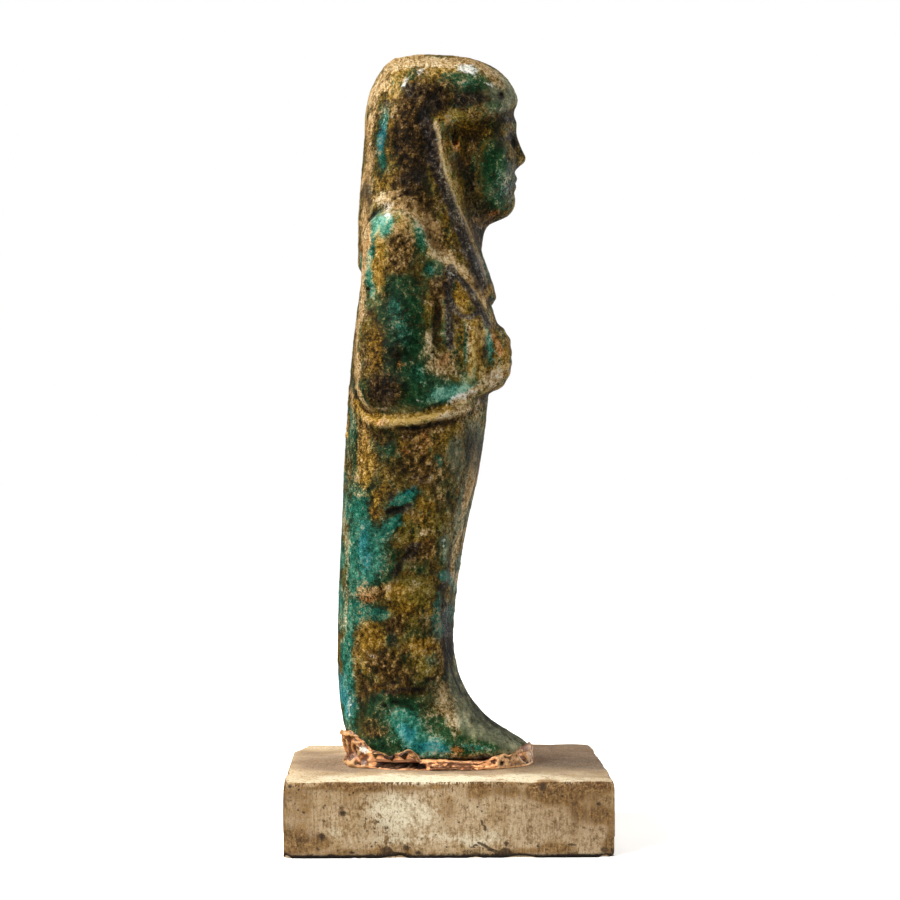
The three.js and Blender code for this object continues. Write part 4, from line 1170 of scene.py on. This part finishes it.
# The block: six grids bent into one box with worn edges. Each bite is a hollow ball: a point on
# the broken surface, the way that surface looks, and the ball's radius.
block = {
    "cells": (156, 168, 46),
    "bites": [
        ((19, 23.5, 9.5), (0.2, 0.9, 0.37), 30), ((22.7, -16.3, 11.1), (0.7, 0, 0.7), 5),
        ((-22.8, 24.0, 0.7), (-0.6, 0.5, -0.6), 6), ((-22.7, 8, 0.4), (-0.8, 0, -0.6), 5),
        ((-22.7, -10.5, 0.4), (-0.8, 0, -0.6), 7), ((22.4, -24, 4), (0.7, -0.7, 0.1), 8),
        ((8, -24.4, 11.1), (0, -0.7, 0.7), 6), ((-6, 24.3, 0.4), (0, 0.8, -0.6), 7),
    ],
    "crowding": 0.97,           # of the cells towards the edges; near 0 they are even
    "wear": 0.24,
    "nibbles": 0.55,            # how deep the small chips along the edges go
}
# What the block shows on the side and top that the picture sees, in the same measure as on the figure:
# pale is stone; pink is stone, and on the right of the top painted shadow of the figure; stain and
# speck are dirt, and the long specks along the bottom edge partly painted contact shadow; dim is
# painted shade
blockMarks = {
    "stain": [
        (300, 795, 14, 7, 0.7), (330, 787, 28, 3.5, 1), (362, 787, 14, 4, 1.1), (376, 788, 6, 4, 1.2),
        (410, 787, 20, 3, 0.9), (440, 786, 14, 3, 0.9), (477, 791, 11, 9, 1.1), (506, 790, 11, 8, 1),
        (548, 791, 20, 8, 2), (566, 797, 24, 6, 1.2), (590, 789, 16, 5, 0.9), (296, 842, 16, 11, 1.9, 15),
        (283, 815, 4, 30, 1), (321, 839, 5, 6, 1.5), (384, 850, 9, 4, 1.1), (408, 850, 5, 4, 1),
        (432, 852, 6, 4, 0.9), (575, 812, 8, 11, 1), (600, 817, 15, 10, 1.2), (452, 808, 8, 12, 0.7),
        (612, 838, 5, 9, 1), (556, 849, 16, 5, 1.6), (340, 851, 12, 4, 0.5), (610, 848, 8, 6, 1.2),
        (500, 816, 10, 8, 0.5), (520, 852, 22, 4, 0.9), (360, 852, 30, 3, 0.7), (310, 815, 20, 12, 0.45),
        (345, 800, 16, 10, 0.4),
    ],
    "speck": [
        (343, 813, 3.4, 2.6, 1.3), (324, 807, 1.8, 1.8, 1.1), (304, 812, 2, 1.6, 1), (378, 821, 2, 3, 1),
        (386, 826, 2.4, 2.4, 0.9), (599, 804, 2.6, 1.8, 1.3), (481, 819, 1, 6, 1.2, -8),
        (485, 828, 1, 6, 1.2, -22), (474, 845, 5, 1.1, 1.3, -24), (484, 845, 6, 1.1, 1.4, 28),
        (492, 850, 5, 1.4, 1.4, 10), (506, 843, 2.6, 3, 1), (529, 842, 2, 2, 0.9),
        (543, 787, 3.6, 4.4, 1.1, 30), (291, 786, 2.4, 2.4, 0.9), (386, 850, 5, 4, 1.3),
        (397, 855, 10, 3, 1.6), (406, 847, 3, 3, 1.1), (512, 856, 18, 2.4, 1.6), (505, 851, 5, 3, 1.2),
        (322, 836, 3, 4, 1.2), (605, 850, 5, 3, 1), (336, 790, 2, 2, 0.6), (560, 812, 1.6, 1.6, 0.8),
        (420, 800, 1.3, 1.3, 0.8), (470, 833, 1.6, 1.6, 0.8), (299, 789, 1.6, 1.6, 1),
        (311, 826, 1.3, 1.3, 1), (357, 806, 1.3, 1.3, 0.9), (366, 826, 1.4, 1.4, 0.9),
        (392, 833, 1.6, 1.4, 1), (399, 808, 1, 1, 0.9), (440, 796, 1.4, 1.4, 0.9), (458, 822, 1.6, 1.2, 0.9),
        (498, 838, 1.6, 1.6, 1), (522, 824, 1.4, 1, 0.9), (538, 846, 3, 1.6, 1.1), (549, 838, 1.4, 1.4, 1),
        (572, 845, 5, 1.6, 1.1, -8), (582, 826, 1.4, 1.2, 0.9), (594, 840, 1.6, 1.4, 1),
        (608, 815, 1.2, 1.6, 0.9), (318, 848, 2, 2, 1), (331, 854, 4, 1.6, 1), (353, 852, 3, 1.6, 1),
        # the long thin specks along the bottom edge are partly painted contact shadow
        (418, 852, 3, 2, 1.1), (286, 856, 20, 1.6, 1), (340, 856, 30, 1.2, 1), (450, 857, 40, 1.2, 1),
        (580, 856, 30, 1.4, 1),
    ],
    "pale": [
        (402, 812, 36, 20, 0.9, 10), (420, 840, 80, 6, 0.4), (480, 836, 30, 10, 0.4),
        (550, 832, 40, 9, 0.35), (450, 779, 170, 4.5, 1.05), (590, 795, 10, 8, 0.3), (330, 830, 20, 8, 0.5),
        (540, 766, 50, 6, 0.4),
    ],
    "dim": [
        (580, 815, 56, 44, 0.5), (574, 744, 66, 15, 1.1), (300, 836, 20, 14, 0.4), (300, 800, 14, 16, 0.2),
        (322, 766, 22, 11, 0.55),
    ],
    # pink stone; the two patches on the right of the top are painted shadow of the figure
    "pink": [
        (395, 769, 60, 4, 0.8), (345, 764, 14, 8, 0.9), (470, 772, 50, 3, 0.5), (316, 760, 30, 10, 0.9),
        (566, 752, 60, 16, 2), (598, 762, 14, 10, 0.7, 40),
    ],
}


def blockPoints():
    # the lattice points on the outside of a box of cells, and the quads between them
    count = np.array(block["cells"])
    corners = []
    for axis in range(3):
        first, second = (axis + 1) % 3, (axis + 2) % 3
        a, b = np.meshgrid(np.arange(count[first]), np.arange(count[second]), indexing="ij")
        for end in (0, count[axis]):
            steps = [(0, 0), (1, 0), (1, 1), (0, 1)] if end else [(0, 0), (0, 1), (1, 1), (1, 0)]
            quad = np.zeros((a.size, 4, 3), int)
            quad[..., axis] = end
            for corner, (da, db) in enumerate(steps):
                quad[:, corner, first] = a.ravel() + da
                quad[:, corner, second] = b.ravel() + db
            corners.append(quad)
    lattice = np.concatenate(corners).reshape(-1, 3)
    key = lattice @ np.array([1, 1000, 1000000])
    _, firstAt, which = np.unique(key, return_index=True, return_inverse=True)
    return lattice[firstAt] / count, which.reshape(-1)


def bitten(points):
    # a point inside a ball moves out along its radius on to the ball, which is a little rough
    for at, looks, radius in block["bites"]:
        away = np.array(looks) / np.linalg.norm(looks)
        centre = np.array(at) + away * radius
        ray = points - centre
        span = np.linalg.norm(ray, axis=-1)
        reach = np.where(span < radius, radius + 0.12 * crumbleAt(points, 2.0, 2, 57), span)
        points = centre + ray * (reach / span)[:, None]
    return points


def blockMarksAt(points, share, halfWidth):
    # the marks show on the side and the top that the picture sees; turned about, they do for the rest
    across, down = seenFrom(points)
    turnedAcross, turnedDown = seenFrom(points * np.array([-1.0, -1, 1]))
    sideways = np.stack([np.full(len(points), -halfWidth), points[:, 0], points[:, 2]], -1)
    endAcross, endDown = seenFrom(sideways * np.array([1, 1.05, 1]))
    shown = (share[:, 0] < 0.001) | (share[:, 2] > 0.999)
    hidden = (share[:, 0] > 0.999)
    warp = 9 * crumbleAt(points, 3.0, 3, 71)
    fields = {}
    for name, patches in blockMarks.items():
        drift = warp * (0.15 if name == "speck" else 0.6)
        front = patchesAt(across + drift, down + drift * 0.7, patches)
        back = patchesAt(turnedAcross + warp, turnedDown + warp, patches)
        ends = patchesAt(endAcross + warp, endDown + warp, patches)
        fields[name] = np.where(shown, front, np.where(hidden, back, ends))
    return fields


def blockPiece():
    # a box from -1 to 1 each way, pulled in along its edges by the wear, chipped, bitten and dented
    share, corners = blockPoints()
    low, high = baseBox
    half = (high - low) / 2
    quarter = np.pi / 2
    signed = np.sin(quarter * (share * 2 - 1) * block["crowding"]) / np.sin(quarter * block["crowding"])
    upright = 0.4 * np.abs(signed[:, 0] * signed[:, 1]) ** 12
    over = np.maximum(signed[:, 2], 0)
    wear = block["wear"] * (upright + np.abs(signed[:, 0] * over) ** 12 + np.abs(signed[:, 1] * over) ** 12)
    wear = wear * (1 + 0.8 * crumbleAt(signed * half, 6.0, 2, 48))
    points = np.stack([
        signed[:, 0] * (half[0] - wear * np.abs(signed[:, 0]) ** 4),
        signed[:, 1] * (half[1] - wear * np.abs(signed[:, 1]) ** 4),
        half[2] + signed[:, 2] * half[2] - wear * 0.5 * over ** 4,
    ], -1)
    # small chips where two faces meet, cut inwards along the edge's own slant
    distance = np.stack([half[0] - np.abs(points[:, 0]), half[1] - np.abs(points[:, 1]),
                         np.minimum(points[:, 2], 2 * half[2] - points[:, 2])], -1)
    nearest = np.sort(distance, -1)
    edge = bell(nearest[:, 1], 0, 0.6)
    chip = np.clip(crumbleAt(points, 2.4, 3, 51) - 0.12, 0, 1) * block["nibbles"] * 2 * edge
    chip = chip * (1 + 0.8 * (points[:, 2] < half[2]))
    inward = -np.sign(signed) * np.exp(-(distance / 1.0) ** 2)
    inward[:, 2] = np.where(points[:, 2] < half[2], 0.5 * inward[:, 2], inward[:, 2])
    points = bitten(points + inward * chip[:, None])
    # saw marks, dents and pores, all inwards
    faceOut = np.sign(signed) * (np.abs(signed) > 0.999)
    dents = 0.03 + 0.04 * crumbleAt(points, 5.0, 3, 61)
    dents = dents + 0.18 * np.clip(crumbleAt(points, 1.2, 2, 66) - 0.45, 0, 1)
    under = (share[:, 2] == 0)
    dents = dents + 0.4 * np.clip(1 - points[:, 2] / 0.5, 0, 1) ** 2
    points = points - faceOut * (dents * ~under)[:, None]
    points = np.clip(points, low, high)
    points[:, 2] = np.where(points[:, 2] < 0.02, 0, points[:, 2])
    totals = np.full(len(corners) // 4, 4, np.int32)
    side = np.abs(signed[:, :2]).max(-1) > 0.999
    fields = {
        "chipped": np.clip(chip * 3, 0, 1),
        "upright": side.astype(float),
        "rim": side * np.exp(-((high[2] - points[:, 2]) / 1.3) ** 2),
        "foot": side * np.exp(-points[:, 2] / 1.15),
        "shade": side * (1 - stepUp(points[:, 2], 0.30, 0.75)),
    }
    fields.update(blockMarksAt(points, share, half[0]))
    return meshFrom("stone_block", points * mm, corners.astype(np.int32), totals, fields)


# Each kind of stone and dirt in four tones, from its hollows to its grains, pink also standing for
# painted shadow; the last five are single colours, of which upright and dim are multiplied in as
# painted shade, and shade is a painted contact shadow
stoneColours = {
    "fresh": ((92, 66, 38), (156, 129, 93), (198, 175, 140), (236, 222, 194)),
    "old": ((78, 54, 26), (136, 106, 64), (180, 152, 106), (220, 198, 156)),
    "pale": ((138, 124, 98), (192, 180, 150), (222, 212, 184), (246, 240, 222)),
    "pink": ((72, 54, 42), (104, 84, 68), (130, 109, 90), (176, 152, 130)),
    "stain": ((28, 17, 5), (80, 55, 23), (128, 94, 48), (176, 143, 92)),
    "dirt": ((44, 30, 14), (96, 72, 40), (140, 112, 70), (190, 162, 116)),
    "teeth": ((14, 7, 1), (48, 28, 7), (92, 60, 23), (150, 111, 60)),
    "foot": ((12, 8, 4), (36, 24, 12), (66, 46, 24), (112, 84, 52)),
    "chipped": ((40, 26, 12), (84, 60, 32), (124, 96, 58), (176, 148, 106)),
    "speck": ((18, 11, 4), (36, 24, 11), (60, 42, 22), (104, 80, 50)),
    "pore": (50, 34, 18),
    "prick": (70, 48, 26),
    "shade": (14, 10, 7),
    "upright": (228, 224, 219),
    "dim": (206, 196, 186),
}


def stoneFinish(piece):
    # two kinds of stone, their sides darkened as painted shade, under paler, pinker and stained patches,
    # each in four tones of one sum of grains; then dirt, painted shade, teeth, foot, chips, specks and
    # pores, and a painted contact shadow at the bottom
    f = Finish("paleStone")
    cloud, middle = f.grain(7, 5, 0.6), f.grain(2.0, 4, 0.62, shift=3)
    fine, sand = f.grain(0.6, 4, 0.7, shift=7), f.grain(0.22, 2, 0.7, shift=12)
    sawn = f.grain(0.30, 3, 0.6, stretch=(1, 1, 0.14), shift=19)
    dirt = f.grain(0.9, 5, 0.75, shift=37)
    upright = f.field("upright")
    tone = middle * 0.8 + fine * 1.3 + sand * 0.9 + sawn * 0.9
    # the sides come out a little darker: painted shade
    tone = tone - upright * 0.09 + 0.60
    ragged = cloud * 1.2 + middle * 2.2 + fine * 2.8 + sand * 1.4
    ragged = ragged + sawn * 0.4

    def shade(name):
        return f.toned(tone, (0, 0.3, 0.6, 1), stoneColours[name])

    def single(name):
        return tint(*stoneColours[name])

    def where(name, threshold, soft):
        return (f.field(name) + ragged).between(threshold - soft, threshold + soft)

    f.colour = shade("fresh")
    f.lay(cloud.between(-0.1, 0.12) * 0.85, shade("old"))
    # painted shade: the sides are multiplied darker
    f.lay(upright, single("upright"), "MULTIPLY")
    pale = f.field("pale") + cloud * 1.4 + middle * 1.2 + fine * 0.8
    f.lay(pale.between(0.3, 1.0) * 0.85, shade("pale"))
    # pink stone, and on the right of the top painted shadow of the figure
    f.lay(where("pink", 0.6, 0.4) * 0.8, shade("pink"))
    f.lay(where("stain", 0.64, 0.26) * 0.88, shade("stain"))
    f.lay(dirt.between(0.02, 0.14) * cloud.between(-0.08, 0.08) * upright * 0.6, shade("dirt"))
    # painted shade and shadow where dim is
    f.lay(f.field("dim") + middle * 0.4, single("dim"), "MULTIPLY")
    # brown teeth hang from the top edge, and the foot of the block is chipped and dark
    teeth = f.field("rim") * 0.8 + sawn * 3.4 + middle * 2.6 + cloud * 1.2
    f.lay(teeth.between(0.56, 0.80) * 0.95, shade("teeth"))
    foot = f.field("foot") * 1.1 + cloud * 2.6 + middle * 2.4 + fine * 1.6
    foot = foot.between(0.76, 0.92)
    f.lay(foot * 0.9, shade("foot"))
    f.lay(where("chipped", 0.7, 0.4) * 0.7, shade("chipped"))
    specks = (f.field("speck") + fine * 1.8 + sand * 1.2).between(0.50, 0.80)
    f.lay(specks * 0.92, shade("speck"))
    pores = f.cells(1.1, shift=4).between(0.20, 0.08) * middle.between(-0.06, 0.06)
    pricks = f.cells(0.45, shift=9).between(0.26, 0.12) * dirt.between(0.02, 0.12)
    f.lay(pores * 0.75, single("pore"))
    f.lay(pricks * 0.35, single("prick"))
    # painted contact shadow along the bottom of the sides
    f.lay(f.field("shade") * 0.9, single("shade"))
    dull = 0.78 + fine * 0.3
    height = middle * 0.4 + fine * 0.7 + sand * 0.45 + sawn * 0.3 - pores * 0.6 - pricks * 0.3 - foot * 0.4
    f.dress(piece, Base_Color=f.colour, Roughness=dull, Specular_IOR_Level=0.3,
            Normal=f.bumped(height, 0.36))


stoneBlock = blockPiece()
stoneFinish(stoneBlock)
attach(stoneBlock, "root")
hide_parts("stone_base")
print("block made")


# Plain studio: a white floor and soft lights, the brightest from above on the figure's back
studio = {
    "lamps": {                  # place in metres, size, watts and colour
        "key": ((0.03, 0.44, 0.34), 0.22, 5.2, (1.0, 0.97, 0.92)),
        "side": ((-0.40, 0.35, 0.24), 0.26, 3.9, (1.0, 0.99, 0.96)),
        "fill": ((-0.38, -0.44, 0.10), 0.50, 2.9, (1.0, 0.99, 0.97)),
        "farFill": ((0.34, -0.46, 0.11), 0.40, 3.2, (1.0, 0.99, 0.96)),
        "top": ((0.0, 0.12, 0.58), 0.30, 0.6, (1.0, 0.99, 0.97)),
    },
    "sky": 0.18,
    "glow": (0.44, 1.00),       # the floor's own light near the figure and far off
    "glowFrom": (0.08, 1.2),    # metres from the figure between which it rises
    "backdropRadius": 5.0,
    "backdropSides": 48,
    "aim": (0, 0, 0.06),        # what the lamps look at
}


def setStage(name, points, faces, brightness, nearGlow, farGlow):
    # a surface that the camera sees, but that throws no light of its own on the figure
    mesh = bpy.data.meshes.new(name)
    mesh.from_pydata(points, [], faces)
    surface = bpy.data.objects.new(name, mesh)
    bpy.context.scene.collection.objects.link(surface)
    f = Finish(name + "White")
    distance = f.make("ShaderNodeVectorMath", {"operation": "LENGTH"}, {0: f.place}, output="Value")
    glow = f.mixed(distance.between(*studio["glowFrom"]), (nearGlow,) * 3 + (1,), (farGlow,) * 3 + (1,))
    f.dress(surface, Base_Color=(brightness,) * 3 + (1,), Roughness=0.9, Specular_IOR_Level=0.0,
            Emission_Color=glow, Emission_Strength=1.0)
    surface.visible_diffuse = False
    surface.visible_glossy = False
    surface.visible_shadow = False


def setStudio():
    # a floor and a ring of wall round it, both plain white
    radius, sides = studio["backdropRadius"], studio["backdropSides"]
    turn = np.arange(sides) / sides * 2 * np.pi
    ring = np.stack([radius * np.cos(turn), radius * np.sin(turn), 0 * turn], -1)
    upper = ring + [0, 0, radius]
    setStage("floor", ring.tolist(), [tuple(range(sides))], 0.9, *studio["glow"])
    walls = [(i, i + sides, (i + 1) % sides + sides, (i + 1) % sides) for i in range(sides)]
    setStage("backdrop", np.concatenate([ring, upper]).tolist(), walls, 0.0, 1.0, 1.0)
    for name, (place, size, watts, colour) in studio["lamps"].items():
        lamp = bpy.data.objects.new(name, bpy.data.lights.new(name, "AREA"))
        bpy.context.scene.collection.objects.link(lamp)
        lamp.data.size, lamp.data.energy, lamp.data.color = size, watts, colour
        lamp.location = place
        lamp.visible_camera = False
        lamp.rotation_mode = "QUATERNION"
        lamp.rotation_quaternion = (Vector(studio["aim"]) - Vector(place)).to_track_quat("-Z", "Y")
    world = bpy.data.worlds.new("sky")
    bpy.context.scene.world = world
    world.use_nodes = True
    world.node_tree.nodes["Background"].inputs["Color"].default_value = (1, 1, 1, 1)
    world.node_tree.nodes["Background"].inputs["Strength"].default_value = studio["sky"]
    bpy.context.scene.view_settings.view_transform = "Standard"


setStudio()
print("studio set")
